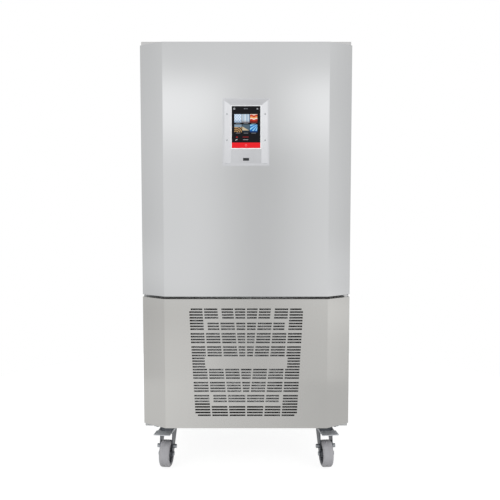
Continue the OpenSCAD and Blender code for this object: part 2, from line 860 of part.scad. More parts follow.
module condenser_fan() {
    color("#2c2f31") translate([0, cfan_y, cond_mid])
        axial_fan(cfan_r, cfan_t, cfan_hub_r, cfan_shaft_r, 5);
}

// A body of revolution with rounded ends, standing on z = 0
module capsule(r, h, edge) {
    rotate_extrude() intersection() {
        union() {
            square([r, h - edge]);
            square([r - edge, h]);
            translate([0, edge]) square([r, h - 2 * edge]);
            for (z = [edge, h - edge]) translate([r - edge, z]) circle(r = edge);
        }
        difference() {
            square([r, h]);
            difference() {
                translate([r - edge, 0]) square([edge, edge]);
                translate([r - edge, edge]) circle(r = edge);
            }
        }
    }
}

module compressor() {
    foot_h = 14;
    foot_span = comp_r * 0.85;
    color("#26282a") translate([comp_at[0], comp_at[1], deck_z]) {
        for (x = [-foot_span, foot_span], y = [-foot_span, foot_span])
            translate([x, y, 0]) cylinder(r = 13, h = foot_h);
        translate([0, 0, foot_h]) {
            block([-foot_span - 18, -foot_span - 18, 0], [foot_span + 18, foot_span + 18, 5]);
            translate([0, 0, 5]) capsule(comp_r, comp_h, 45);
            block([-comp_r - 30, -35, comp_h * 0.45], [-comp_r * 0.85, 35, comp_h * 0.45 + 80]);
        }
    }
}

module liquid_receiver() {
    color("#26282a") translate([recv_at[0], recv_at[1], deck_z]) {
        difference() {
            cylinder(r = recv_r - 8, h = 40);
            translate([0, 0, -eps]) cylinder(r = recv_r - 11, h = 42);
        }
        translate([0, 0, 20]) capsule(recv_r, recv_h, 30);
    }
}

module filter_drier() {
    color("#8e6a3e") translate([drier_at[0], drier_at[1], drier_z]) capsule(drier_r, drier_h, 12);
}
drier_z = deck_z + 180;

// Tops of the vessels that the pipes meet
comp_top = deck_z + 14 + 5 + comp_h;
recv_top = deck_z + 20 + recv_h;

module refrigerant_pipes() {
    cond_top = cond_row_z + (cond_rows - 1) * cond_pitch;
    evap_low = evap_row_z;
    loop = 25;
    out_x = cond_half + cond_pitch / 2 + 4 * pipe_r;
    front_y1 = cmotor_y + 30;
    floor_z = deck_z + 40;
    aisle_x = recv_at[0] + recv_r + 50;
    comp = comp_at;
    recv = recv_at;
    drier = drier_at;
    pass_y = comp[1] - comp_r - 20;
    pass_z = drier_z - 48;
    suction_z = deck_z + 180;
    color("#b87446") {
        // discharge line: compressor to the top row of the condenser's rear column
        pipe([[comp[0] + 30, comp[1], comp_top], [comp[0] + 30, comp[1], comp_top + loop + 8],
              [comp[0] + 30, front_y1, comp_top + loop + 8], [out_x, front_y1, comp_top + loop + 8],
              [out_x, cond_columns[1], comp_top + loop + 8], [out_x, cond_columns[1], cond_top],
              [cond_half, cond_columns[1], cond_top]], pipe_r);
        // condensate line: top row of the front column to the receiver
        pipe([[cond_half, cond_columns[0], cond_top], [out_x + loop, cond_columns[0], cond_top],
              [out_x + loop, cond_columns[0], floor_z], [out_x + loop, front_y1, floor_z],
              [aisle_x, front_y1, floor_z], [aisle_x, recv[1], floor_z],
              [aisle_x, recv[1], recv_top + loop], [recv[0] + 15, recv[1], recv_top + loop],
              [recv[0] + 15, recv[1], recv_top]], pipe_r);
        // liquid line: receiver to the drier
        pipe([[recv[0] - 15, recv[1], recv_top], [recv[0] - 15, recv[1], recv_top + loop],
              [recv[0] - 15, drier[1], recv_top + loop], [drier[0], drier[1], recv_top + loop],
              [drier[0], drier[1], drier_z + drier_h]], pipe_r);
        // liquid line: drier to the evaporator's front column
        pipe([[drier[0], drier[1], drier_z], [drier[0], drier[1], pass_z], [drier[0], pass_y, pass_z],
              [riser_at[0], pass_y, pass_z], [riser_at[0], riser_at[1], pass_z],
              [riser_at[0], riser_at[1], evap_low], [-evap_half, riser_at[1], evap_low]], pipe_r);
        // suction line: evaporator's rear column to the compressor
        pipe([[-evap_half, suction_at[1], evap_low], [suction_at[0], suction_at[1], evap_low],
              [suction_at[0], suction_at[1], suction_z], [comp[0], suction_at[1], suction_z],
              [comp[0], comp[1] + comp_r, suction_z]], suction_r);
    }
}

module electrical_box() {
    at = ebox_at;
    color("#bfc1bf") {
        difference() {
            block([at[0], at[1], deck_z], [at[0] + ebox_w, at[1] + ebox_d, deck_z + ebox_h]);
            block([at[0] + ebox_t, at[1] - eps, deck_z + ebox_t],
                  [at[0] + ebox_w - ebox_t, at[1] + ebox_d - ebox_t, deck_z + ebox_h - ebox_t]);
        }
        for (i = [0:2]) block([at[0] + 20, at[1] + ebox_d - ebox_t - 70, deck_z + 60 + i * 105],
                              [at[0] + ebox_w - 20, at[1] + ebox_d - ebox_t, deck_z + 130 + i * 105]);
    }
}

module electrical_cover() {
    at = ebox_at;
    color("#a9abaa") block([at[0], at[1] - ebox_t, deck_z], [at[0] + ebox_w, at[1], deck_z + ebox_h]);
}

// ---- door ----

// The plan outline that the door and the service panel share, without the grip
front_outline = [
    [-half_w + chamfer_w, front_y], [half_w - chamfer_w, front_y], [half_w, front_y + chamfer_d],
    [half_w, door_back_y], [-half_w, door_back_y], [-half_w, front_y + chamfer_d]
];
// The door's outline has a finger grip cut behind its left edge
door_outline = [
    [-half_w + chamfer_w, front_y], [half_w - chamfer_w, front_y], [half_w, front_y + chamfer_d],
    [half_w, door_back_y], [-half_w + grip_w, door_back_y], [-half_w + grip_w, door_back_y - grip_d],
    [-half_w, door_back_y - grip_d], [-half_w, front_y + chamfer_d]
];
bezel_z = door_z0 + bezel_up;
liner_x0 = -half_w + grip_w + sheet;
plug_x = in_x - plug_gap;
plug_z0 = in_z0 + plug_gap;
plug_z1 = in_z1 - plug_gap;

// A slice of an outline between two heights
module prism(points, z0, z1) {
    translate([0, 0, z0]) linear_extrude(z1 - z0) polygon(points);
}

module hinge_bush(z0, z1) {
    translate([hinge_x, hinge_y, z0]) cylinder(r = bush_r, h = z1 - z0);
}

module hinge_bore(z0, z1) {
    translate([hinge_x, hinge_y, z0]) cylinder(r = pin_r + run, h = z1 - z0);
}

module door_skin() {
    bush_l = pin_l + 5;
    color("#c9cac8") difference() {
        union() {
            difference() {
                prism(door_outline, door_z0, door_z1);
                prism(inset(door_outline, sheet), door_z0 + sheet, door_z1 - sheet);
                block([liner_x0, door_back_y - 2 * sheet, door_z0 + sheet],
                      [skin_x, door_back_y + eps, door_z1 - sheet]);
                block([-bezel_w / 2, front_y - eps, bezel_z - bezel_h / 2],
                      [bezel_w / 2, front_y + 2 * sheet, bezel_z + bezel_h / 2]);
            }
            hinge_bush(door_z0, door_z0 + bush_l);
            hinge_bush(door_z1 - bush_l, door_z1);
        }
        hinge_bore(door_z0 - eps, door_z0 + pin_l + 2);
        hinge_bore(door_z1 - pin_l - 2, door_z1 + eps);
    }
}

module door_foam() {
    bush_l = pin_l + 5;
    color("#e6d9a8") difference() {
        union() {
            prism(inset(door_outline, sheet), door_z0 + sheet, door_z1 - sheet);
            block([-plug_x + sheet, door_back_y - 2 * sheet, plug_z0 + sheet],
                  [plug_x - sheet, door_back_y + plug_t - sheet, plug_z1 - sheet]);
        }
        block([-bezel_w / 2, front_y, bezel_z - bezel_h / 2],
              [bezel_w / 2, front_y + pocket_d, bezel_z + bezel_h / 2]);
        hinge_bush(door_z0, door_z0 + bush_l);
        hinge_bush(door_z1 - bush_l, door_z1);
    }
}

module door_liner() {
    color("#d3d5d6") difference() {
        union() {
            block([liner_x0, door_back_y - sheet, door_z0 + sheet], [skin_x, door_back_y, door_z1 - sheet]);
            block([-plug_x, door_back_y - sheet, plug_z0], [plug_x, door_back_y + plug_t, plug_z1]);
        }
        block([-plug_x + sheet, door_back_y - 2 * sheet, plug_z0 + sheet],
              [plug_x - sheet, door_back_y + plug_t - sheet, plug_z1 - sheet]);
    }
}

module door_gasket() {
    gap = 3;
    foot = gap + gasket_w;
    bulb = 3;
    y1 = mouth_y - seal_clear;
    color("#5b5e60") {
        frame_ring(in_x + foot, in_z0 - foot, in_z1 + foot, gasket_w, door_back_y,
                   door_back_y + gasket_foot);
        frame_ring(in_x + foot - bulb, in_z0 - foot + bulb, in_z1 + foot - bulb, gasket_w - 2 * bulb,
                   door_back_y + gasket_foot, y1);
    }
}

// ---- control panel on the door ----

screen_z = bezel_z + screen_up;
dish_y = front_y + dish;
flap_z = bezel_z - flap_down;
port_w = 13;
port_h = 6;
screw_x = 70;
screw_z = [bezel_z - 29, bezel_z + 66];
screw_r = 3;
screw_sink = 3;
thread_r = 1.5;
board_y = front_y + bezel_t + 8;

// A block whose front is larger than its back, for the dish's sloped border
module dish_cutter() {
    slope = border - 2;
    w = bezel_w / 2 - 2;
    h = bezel_h / 2 - 2;
    run_out = eps * slope / dish;
    intersection() {
        translate([0, 0, bezel_z - bezel_h]) linear_extrude(2 * bezel_h) polygon([
            [-w - run_out, front_y - eps], [w + run_out, front_y - eps],
            [w - slope, dish_y], [-w + slope, dish_y]
        ]);
        translate([-bezel_w, 0, bezel_z]) rotate([90, 0, 90]) linear_extrude(2 * bezel_w) polygon([
            [front_y - eps, -h - run_out], [front_y - eps, h + run_out],
            [dish_y, h - slope], [dish_y, -h + slope]
        ]);
    }
}

module control_bezel() {
    color("#c2c4c6") difference() {
        union() {
            block([-bezel_w / 2, front_y, bezel_z - bezel_h / 2],
                  [bezel_w / 2, front_y + bezel_t, bezel_z + bezel_h / 2]);
            for (x = [-60, 60], z = [bezel_z - 90, bezel_z + 90])
                translate([x, front_y + bezel_t, z]) along_y(5, board_y - front_y - bezel_t);
        }
        dish_cutter();
        screen_space(0);
        for (x = [-screw_x, screw_x], z = screw_z) translate([x, 0, z]) {
            translate([0, dish_y - eps, 0]) along_y(screw_r, screw_sink + eps);
            translate([0, dish_y, 0]) along_y(thread_r, bezel_t);
        }
        block([-port_w / 2, dish_y - eps, flap_z - port_h / 2],
              [port_w / 2, front_y + bezel_t + eps, flap_z + port_h / 2]);
    }
}

// The room of the screen in the bezel
module screen_space(gap) {
    block([-screen_w / 2 - gap, dish_y - screen_out, screen_z - screen_h / 2 - gap],
          [screen_w / 2 + gap, dish_y - screen_out + screen_t, screen_z + screen_h / 2 + gap]);
}

module touch_screen() {
    color("#101113") screen_space(0);
}

module control_board() {
    half_board = 70;
    board_half_h = 105;
    front = board_y + 1.6;
    socket_y = front_y + 9;
    socket_gap = 0.5;
    chip_x = 45;
    chip_h = 80;
    chip_t = 10;
    supply_x0 = -50;
    supply_x1 = 10;
    supply_h = 50;
    supply_t = 14;
    color("#1f5a3a") {
        block([-half_board, board_y, bezel_z - board_half_h], [half_board, front, bezel_z + board_half_h]);
        block([-chip_x, front, bezel_z], [chip_x, front + chip_t, bezel_z + chip_h]);
        block([supply_x0, front, bezel_z - chip_h],
              [supply_x1, front + supply_t, bezel_z - chip_h + supply_h]);
        block([-port_w / 2 + socket_gap, socket_y, flap_z - port_h / 2 + socket_gap],
              [port_w / 2 - socket_gap, board_y, flap_z + port_h / 2 - socket_gap]);
    }
}

module bezel_screws() {
    color("#9fa2a4") for (x = [-screw_x, screw_x], z = screw_z) translate([x, 0, z]) {
        translate([0, dish_y + 1, 0]) along_y(screw_r, screw_sink - 1);
        translate([0, dish_y + screw_sink, 0]) along_y(thread_r, bezel_t - dish - screw_sink);
    }
}

// The cover hangs on a barrel along its lower edge, on a stub at each end
module port_cover() {
    t = 2;
    color("#2a2c2e") {
        block([-flap_w / 2, dish_y - lift_clear - t, flap_z - flap_h / 2 + t],
              [flap_w / 2, dish_y - lift_clear, flap_z + flap_h / 2]);
        translate([-flap_w / 2, dish_y - lift_clear - t / 2, flap_z - flap_h / 2 + t])
            along_x(t / 2, flap_w);
    }
}

// ---- service panel with the intake grille ----

grille_z = panel_z1 - grille_drop;
grille_rows = 36;
block_ends = [8, 12, 24, 28];

// Distance of a row's middle below the first row
function row_down(i) = i * row_pitch + block_gap * len([for (b = block_ends) if (i >= b) b]);
// The ribs lean inward towards the bottom, and so does the slotted area
function outer_x(i) = grille_half - 0.054 * row_down(i) - (i == 0 ? 6 : i == grille_rows - 1 ? 9 : 0);
function rib_3(i) = grille_half - 52.5 - 0.0735 * row_down(i);
function rib_2(i) = grille_half - 108.5 - 0.098 * row_down(i);
function rib_1(i) = grille_half - 167 - 0.1 * row_down(i);
// Rows that keep only their outermost slots, and the bare band in the middle
function is_short(i) = i == 4 || i == 31;
function is_band(i) = i >= 16 && i < 20;
// The slots of a row right of the middle, as [start, end]
function row_slots(i) = let (r = rib_w / 2, wide = 9)
    is_short(i) ? [[rib_3(i) + r, outer_x(i)]]
    : is_band(i) ? [[rib_3(i) + r + rib_w, outer_x(i)]]
    : i < 16 ? [[r, rib_1(i) - r], [rib_1(i) + r, rib_2(i) - r - (i < 4 ? wide : 0)],
                [rib_2(i) + r, rib_3(i) - r - (i > 4 && i < 8 ? wide : 0)], [rib_3(i) + r, outer_x(i)]]
    : i < 28 ? [[-r, rib_1(i) - r], [rib_1(i) + r, rib_2(i) - r], [rib_2(i) + r, rib_3(i) - r],
                [rib_3(i) + r, outer_x(i)]]
    : [[r, rib_2(i) - r], [rib_2(i) + r, rib_3(i) - r - (i < 31 ? wide : 0)], [rib_3(i) + r, outer_x(i)]];

module grille_slots() {
    for (i = [0:grille_rows - 1], s = row_slots(i), side = [0, 1])
        mirror([side, 0, 0])
            translate([s[0], front_y - eps, grille_z - row_down(i) - slot_h / 2])
                cube([s[1] - s[0], panel_t + 2 * eps, slot_h]);
}

module service_panel() {
    bush_l = pin_l + 5;
    color("#bdbbb6") difference() {
        union() {
            difference() {
                prism(front_outline, panel_z0, panel_z1);
                prism(inset(front_outline, panel_t), panel_z0 + panel_t, panel_z1 - panel_t);
                prism(inset(front_outline, flange), panel_z0 - eps, panel_z1 + eps);
                block([-half_w + lip, door_back_y - flange - eps, panel_z0 - eps],
                      [half_w - lip, door_back_y + eps, panel_z1 + eps]);
            }
            hinge_bush(panel_z0, panel_z0 + bush_l);
            hinge_bush(panel_z1 - bush_l, panel_z1);
        }
        hinge_bore(panel_z0 - eps, panel_z0 + pin_l + 2);
        hinge_bore(panel_z1 - pin_l - 2, panel_z1 + eps);
        grille_slots();
    }
}

// ---- casters ----

// The caster's own frame: its swivel axis is the origin, and the wheel trails towards -Y
module at_caster(i) {
    translate([CASTERS[i][0], CASTERS[i][1], 0]) rotate([0, 0, CASTERS[i][2]]) children();
}

module caster_plates() {
    race_r = 30;
    color("#b9bdc0") for (i = [0:3]) translate([CASTERS[i][0], CASTERS[i][1], 0]) {
        difference() {
            block([-plate_w / 2, -plate_d / 2, plate_z], [plate_w / 2, plate_d / 2, base_z]);
            caster_bolt_holes(plate_z - eps, base_z + eps);
        }
        translate([0, 0, race_z]) cylinder(r = race_r, h = plate_z - race_z);
        translate([0, 0, crown_z0 - 1]) cylinder(r = kingpin_r, h = race_z - crown_z0 + 1);
        translate([0, 0, crown_z0 - 5.3]) cylinder(r = kingpin_r + 4, h = 5);
    }
}

// A leg of the fork: wide at the crown, round at the axle
module fork_leg() {
    axle_r1 = 13;
    rotate([90, 0, 90]) linear_extrude(fork_t) difference() {
        union() {
            polygon([[30, crown_z1], [-32, crown_z1], [-36, crown_z0 - 4], [-trail - axle_r1, wheel_r + 2],
                     [-trail + axle_r1, wheel_r - 6], [26, crown_z0 - 12]]);
            translate([-trail, wheel_r]) circle(r = axle_r1);
        }
        translate([-trail, wheel_r]) circle(r = axle_r + run);
    }
}

module fork(i) {
    boss_at = [-trail + 10, wheel_r + 27];
    boss_r = 8;
    boss_l = 12;
    nut_r = 8;
    nut_l = 5;
    color("#7d8287") at_caster(i) {
        difference() {
            union() {
                block([-fork_out, -32, crown_z0], [fork_out, 30, crown_z1]);
                translate([-fork_out, 0, 0]) fork_leg();
                translate([fork_in, 0, 0]) fork_leg();
                translate([fork_out, boss_at[0], boss_at[1]]) along_x(boss_r, boss_l);
                translate([-fork_out - boss_l, boss_at[0], boss_at[1]]) along_x(boss_r, boss_l);
                if (i < 2) for (x = [-fork_out - 5, fork_out])
                    translate([x, -pedal_pivot[0], pedal_pivot[1]]) along_x(pedal_pin_r, 5);
            }
            translate([0, 0, crown_z0 - eps])
                cylinder(r = kingpin_r + run, h = crown_z1 - crown_z0 + 2 * eps);
        }
        translate([-fork_out - run, -trail, wheel_r]) along_x(axle_r, 2 * (fork_out + run));
        for (x = [-fork_out - run - nut_l, fork_out + run])
            translate([x, -trail, wheel_r]) along_x(nut_r, nut_l);
    }
}
module fork_front_left() { fork(0); }
module fork_front_right() { fork(1); }
module fork_rear_left() { fork(2); }
module fork_rear_right() { fork(3); }

// Points of a wheel's section are [radius, distance along the axle]
module about_axle(i) {
    at_caster(i) translate([0, -trail, wheel_r]) rotate([0, 90, 0]) rotate_extrude() children();
}

module hub(i) {
    bore = axle_r + run;
    rim_r = wheel_r - tyre_t;
    rim_half = tyre_w / 2 - 3;
    color("#6e7074") about_axle(i) polygon([
        [bore, -hub_half], [bore + 9, -hub_half], [bore + 9, -5], [rim_r - 5, -5], [rim_r - 5, -rim_half],
        [rim_r, -rim_half], [rim_r, rim_half], [rim_r - 5, rim_half], [rim_r - 5, 5], [bore + 9, 5],
        [bore + 9, hub_half], [bore, hub_half]
    ]);
}
module hub_front_left() { hub(0); }
module hub_front_right() { hub(1); }
module hub_rear_left() { hub(2); }
module hub_rear_right() { hub(3); }

module tyre(i) {
    half = tyre_w / 2;
    color("#a2a4a8") about_axle(i) {
        translate([wheel_r - tyre_t, -half]) square([tyre_t - tyre_edge, tyre_w]);
        translate([wheel_r - tyre_t, -half + tyre_edge]) square([tyre_t, tyre_w - 2 * tyre_edge]);
        for (x = [-half + tyre_edge, half - tyre_edge]) translate([wheel_r - tyre_edge, x]) intersection() {
            circle(r = tyre_edge);
            translate([-tyre_t + tyre_edge, -tyre_edge]) square([tyre_t, 2 * tyre_edge]);
        }
    }
}
module tyre_front_left() { tyre(0); }
module tyre_front_right() { tyre(1); }
module tyre_rear_left() { tyre(2); }
module tyre_rear_right() { tyre(3); }

// The brake pedal: a tread plate on two arms that straddle the fork
module brake_pedal(i) {
    reach = 116;
    tread_0 = 66;
    tread_z = pedal_pivot[1] + 4;
    arm_t = 3;
    gap = lift_clear;
    arm_x = fork_out + gap;
    tread_x = arm_x + arm_t + 3;
    color("#8a9096") at_caster(i) {
        block([-tread_x, -reach, tread_z], [tread_x, -tread_0, tread_z + arm_t]);
        for (x = [-arm_x - arm_t, arm_x]) translate([x, 0, 0]) rotate([90, 0, 90]) linear_extrude(arm_t)
            difference() {
                union() {
                    translate([-tread_0 - 6, tread_z - 8]) square([tread_0 + 6 - pedal_pivot[0], 8]);
                    translate([-pedal_pivot[0], pedal_pivot[1]]) circle(r = 7);
                }
                translate([-pedal_pivot[0], pedal_pivot[1]]) circle(r = pedal_pin_r + run);
            }
    }
}
module brake_pedal_left() { brake_pedal(0); }
module brake_pedal_right() { brake_pedal(1); }

base_frame();
side_cover_left();
side_cover_right();
rear_grille();
caster_plates();
fasteners();
cabinet_shell();
cabinet_back();
cabinet_foam();
cell_liner();
mouth_frame();
hinge_plates();
panel_catches();
rack_uprights();
runners_left();
runners_right();
fan_panel();
fan_guards();
evaporator_motors();
evaporator_fins();
evaporator_tubes();
drip_tray();
condenser_fins();
condenser_tubes();
condenser_shroud();
condenser_motor();
compressor();
liquid_receiver();
filter_drier();
refrigerant_pipes();
electrical_box();
electrical_cover();
mains_gland();
evaporator_fan_upper();
evaporator_fan_lower();
condenser_fan();
door_skin();
door_foam();
door_liner();
door_gasket();
control_bezel();
touch_screen();
control_board();
bezel_screws();
port_cover();
service_panel();
fork_front_left();
fork_front_right();
fork_rear_left();
fork_rear_right();
hub_front_left();
hub_front_right();
hub_rear_left();
hub_rear_right();
tyre_front_left();
tyre_front_right();
tyre_rear_left();
tyre_rear_right();
brake_pedal_left();
brake_pedal_right();
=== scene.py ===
import json
import math
import bmesh
import bpy
import numpy as np
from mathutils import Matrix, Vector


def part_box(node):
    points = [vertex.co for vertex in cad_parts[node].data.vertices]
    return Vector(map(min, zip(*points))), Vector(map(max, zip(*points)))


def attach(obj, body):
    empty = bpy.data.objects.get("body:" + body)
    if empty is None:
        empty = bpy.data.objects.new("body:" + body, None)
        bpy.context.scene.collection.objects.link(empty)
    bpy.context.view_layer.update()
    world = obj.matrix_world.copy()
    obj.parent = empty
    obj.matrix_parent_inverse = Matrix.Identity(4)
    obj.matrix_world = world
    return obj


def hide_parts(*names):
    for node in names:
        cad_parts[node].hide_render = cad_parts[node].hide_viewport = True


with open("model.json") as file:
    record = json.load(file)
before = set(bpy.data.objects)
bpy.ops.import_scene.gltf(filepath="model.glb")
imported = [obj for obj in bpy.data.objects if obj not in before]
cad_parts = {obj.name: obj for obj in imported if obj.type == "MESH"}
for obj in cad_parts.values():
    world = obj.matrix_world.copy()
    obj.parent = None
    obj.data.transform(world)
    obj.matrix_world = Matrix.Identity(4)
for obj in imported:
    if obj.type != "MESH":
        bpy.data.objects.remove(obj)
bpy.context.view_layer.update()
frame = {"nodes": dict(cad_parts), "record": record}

# ---- The studio: a pale floor, a white surround and soft light on a tall steel cabinet ----
# The camera stands 2.53 m in front of the door at chest height and looks down by 4.3 degrees.
# Ground steel is only as light as what it mirrors: a tall white screen before it, dimmer walls beside it.

DOOR_FACE_Y = -0.400
CAMERA_RIGHT, CAMERA_BACK, CAMERA_UP = 0.0145, 2.531, 1.054
TILT_DEGREES = 4.33
FOCAL_PIXELS, PICTURE_PIXELS, SENSOR = 684.4, 500, 36
WALL_GREY = 0.71
SMOOTH = {"interpolation_type": "SMOOTHSTEP"}


def linear(code):
    """Turns a colour written as sRGB hex into linear red, green and blue, with alpha 1."""
    parts = [int(code[i:i + 2], 16) / 255 for i in (1, 3, 5)]
    return tuple(c / 12.92 if c <= 0.04045 else ((c + 0.055) / 1.055) ** 2.4 for c in parts) + (1.0,)


def node(tree, kind, inputs=None, **settings):
    """Adds a shader node of a kind, such as "TexNoise" for Blender's ShaderNodeTexNoise.

    settings are its properties, and inputs are values, nodes or sockets by name or place.
    """
    made = tree.nodes.new("ShaderNode" + kind)
    for key, value in settings.items():
        setattr(made, key, value)
    for key, value in (inputs or {}).items():
        if isinstance(value, bpy.types.Node):
            value = value.outputs[0]
        if isinstance(value, bpy.types.NodeSocket):
            tree.links.new(value, made.inputs[key])
        else:
            made.inputs[key].default_value = value
    return made


def stood(name, data):
    """A new object at the origin that holds this camera, lamp or mesh, linked to the scene."""
    made = bpy.data.objects.new(name, data)
    bpy.context.scene.collection.objects.link(made)
    return made


eye = stood("camera", bpy.data.cameras.new("camera"))
eye.location = (CAMERA_RIGHT, DOOR_FACE_Y - CAMERA_BACK, CAMERA_UP)
eye.rotation_euler = (math.radians(90 - TILT_DEGREES), 0, 0)
eye.data.sensor_width = SENSOR
eye.data.lens = FOCAL_PIXELS / PICTURE_PIXELS * SENSOR
bpy.context.scene.camera = eye
bpy.context.scene.view_settings.view_transform = "Standard"

white = linear("#FFFFFF")
world = bpy.data.worlds.new("studio")
bpy.context.scene.world = world
world.use_nodes = True
sky = world.node_tree
sky.nodes.clear()
ray = node(sky, "LightPath")
direction = node(sky, "TexCoord").outputs["Generated"]
to_x, to_y, to_z = node(sky, "SeparateXYZ", {0: direction}).outputs
# the screen is a band above eye level, brightest at its sides; between its halves is a darker opening
band_top = node(sky, "MapRange", {0: to_z, 1: 0.188, 2: 0.150}, **SMOOTH)
band_foot = node(sky, "MapRange", {0: to_z, 1: 0.042, 2: 0.125}, **SMOOTH)
band = node(sky, "Math", {0: band_top, 1: band_foot}, operation="MULTIPLY")
low = node(sky, "MapRange", {0: to_z, 1: 0.105, 2: 0.045}, **SMOOTH)
off = node(sky, "Math", {0: to_x, 1: 0.012}, operation="SUBTRACT")
off = node(sky, "Math", {0: off}, operation="ABSOLUTE")
beside = node(sky, "MapRange", {0: off, 1: 0.0, 2: 0.092}, **SMOOTH)
band_lift = node(sky, "Math", {0: beside, 1: 0.40, 2: -0.05}, operation="MULTIPLY_ADD")
low_lift = node(sky, "Math", {0: beside, 1: 0.22, 2: -0.15}, operation="MULTIPLY_ADD")
low_part = node(sky, "Math", {0: low, 1: low_lift}, operation="MULTIPLY")
lift = node(sky, "Math", {0: band, 1: band_lift, 2: low_part}, operation="MULTIPLY_ADD")
ahead = node(sky, "MapRange", {0: to_y, 1: -0.72, 2: -0.92})
# the walls are grey and a little uneven, and beside the cabinet they fall off towards its back
side = node(sky, "Math", {0: to_x}, operation="ABSOLUTE")
recess = node(sky, "MapRange", {0: to_y, 1: -0.225, 2: -0.187, 3: 0.06, 4: -0.11})
walls = node(sky, "Math", {0: recess, 1: side, 2: WALL_GREY}, operation="MULTIPLY_ADD")
uneven = node(sky, "TexNoise", {"Vector": direction, "Scale": 5.0, "Detail": 1.0})
walls = node(sky, "Math", {0: uneven, 1: 0.10, 2: walls}, operation="MULTIPLY_ADD")
# they are lighter just below eye level, where they meet the floor
below = node(sky, "Math", {0: to_z, 1: 0.10}, operation="ADD")
below = node(sky, "Math", {0: below}, operation="ABSOLUTE")
skirt = node(sky, "MapRange", {0: below, 1: 0.05, 2: 0.0, 3: 0.0, 4: 0.06}, **SMOOTH)
walls = node(sky, "Math", {0: skirt, 1: side, 2: walls}, operation="MULTIPLY_ADD")
# two tall white boards stand behind the cabinet, to its left and right
boards = node(sky, "Math", {0: side, 1: 0.72}, operation="SUBTRACT")
boards = node(sky, "Math", {0: boards}, operation="ABSOLUTE")
boards = node(sky, "MapRange", {0: boards, 1: 0.30, 2: 0.10, 3: 0.0, 4: 0.22}, **SMOOTH)
behind = node(sky, "MapRange", {0: to_y, 1: 0.2, 2: 0.45})
# low down, the right wall is lighter than the left one, most of all just above the floor's far edge
foot = node(sky, "MapRange", {0: to_z, 1: -0.139, 2: -0.151, 3: 0.0, 4: 0.15})
fade = node(sky, "MapRange", {0: to_z, 1: -0.155, 2: -0.205, 3: 0.0, 4: 0.135})
foot = node(sky, "Math", {0: foot, 1: fade}, operation="SUBTRACT")
tilt = node(sky, "Math", {0: side, 1: 0.45, 2: to_x}, operation="MULTIPLY_ADD")
level = walls
for shape, strength in ((lift, ahead), (boards, behind), (foot, tilt)):
    level = node(sky, "Math", {0: shape, 1: strength, 2: level}, operation="MULTIPLY_ADD")
# two grey screens hang low behind the camera: a short one on the left and a tall one on the right
for hand, rise, top, bottom, sink in ((-1, -0.140, -0.155, -0.175, -0.200),
                                      (1, -0.150, -0.175, -0.300, -0.330)):
    grey = node(sky, "MapRange", {0: to_x, 1: hand * 0.065, 2: hand * 0.090, 3: 0.0, 4: -0.11})
    for edge, inside in ((rise, top), (sink, bottom)):
        within_edge = node(sky, "MapRange", {0: to_z, 1: edge, 2: inside})
        grey = node(sky, "Math", {0: grey, 1: within_edge}, operation="MULTIPLY")
    level = node(sky, "Math", {0: grey, 1: ahead, 2: level}, operation="MULTIPLY_ADD")
mirrored = node(sky, "Background", {0: white, 1: level})
lighting = node(sky, "Background", {0: linear("#F4F5F7"), 1: 0.72})
seen = node(sky, "Background", {0: white, 1: 1.0})
metal_view = node(sky, "MixShader", {0: ray.outputs["Is Glossy Ray"], 1: lighting, 2: mirrored})
glass_view = node(sky, "MixShader", {0: ray.outputs["Is Transmission Ray"], 1: metal_view, 2: seen})
final = node(sky, "MixShader", {0: ray.outputs["Is Camera Ray"], 1: glass_view, 2: seen})
node(sky, "OutputWorld", {0: final})

# the lamps light paint and plastic; the metal mirrors the surround alone
for name, place, aim, size, power in (
        ("key_lamp", (-2.2, -3.2, 3.0), (0, 0, 0.9), 1.8, 46),
        ("fill_lamp", (2.4, -2.9, 2.2), (0, 0, 0.7), 1.8, 26),
        ("top_lamp", (0, -0.6, 4.0), (0, 0, 0.5), 2.2, 30),
        ("back_lamp", (0.5, 3.4, 2.6), (0, 0, 0.9), 2.2, 46)):
    lamp = stood(name, bpy.data.lights.new(name, "AREA"))
    lamp.data.size = size
    lamp.data.energy = power
    lamp.location = place
    lamp.visible_glossy = False
    step = np.array(aim, float) - np.array(place, float)
    lamp.rotation_euler = (math.acos(-step[2] / np.linalg.norm(step)), 0,
                           math.atan2(step[0], -step[1]) + math.pi)


def pieced(name, grids, sharp=32):
    """One mesh object from grids of points: each is (an (m, n, 3) array, close it along m, close it along n).

    Every cell of a grid is one face. Doubles are merged, so a row drawn to one point becomes a pole, the
    normals are turned outwards, and edges that turn by more than sharp degrees are kept crisp.
    """
    corners, faces, start = [], [], 0
    for points, wrap_m, wrap_n in grids:
        m, n = points.shape[:2]
        index = start + np.arange(m * n).reshape(m, n)
        start += m * n
        if wrap_m:
            index = np.vstack([index, index[:1]])
        if wrap_n:
            index = np.hstack([index, index[:, :1]])
        faces.append(np.stack([index[:-1, :-1], index[1:, :-1], index[1:, 1:], index[:-1, 1:]], axis=-1))
        corners.append(points.reshape(-1, 3))
    mesh = bpy.data.meshes.new(name)
    mesh.from_pydata(np.concatenate(corners).tolist(), [],
                     np.concatenate([f.reshape(-1, 4) for f in faces]).tolist())
    work = bmesh.new()
    work.from_mesh(mesh)
    bmesh.ops.remove_doubles(work, verts=work.verts, dist=2e-6)
    bmesh.ops.dissolve_degenerate(work, edges=work.edges, dist=1e-7)
    bmesh.ops.recalc_face_normals(work, faces=work.faces)
    work.to_mesh(mesh)
    work.free()
    mesh.polygons.foreach_set("use_smooth", np.ones(len(mesh.polygons), bool))
    mesh.set_sharp_from_angle(angle=math.radians(sharp))
    return stood(name, mesh)


def bare_material(name):
    """A new material without nodes, its node tree, and the coordinates of the object that it covers."""
    made = bpy.data.materials.new(name)
    made.use_nodes = True
    tree = made.node_tree
    tree.nodes.clear()
    return made, tree, node(tree, "TexCoord").outputs["Object"]


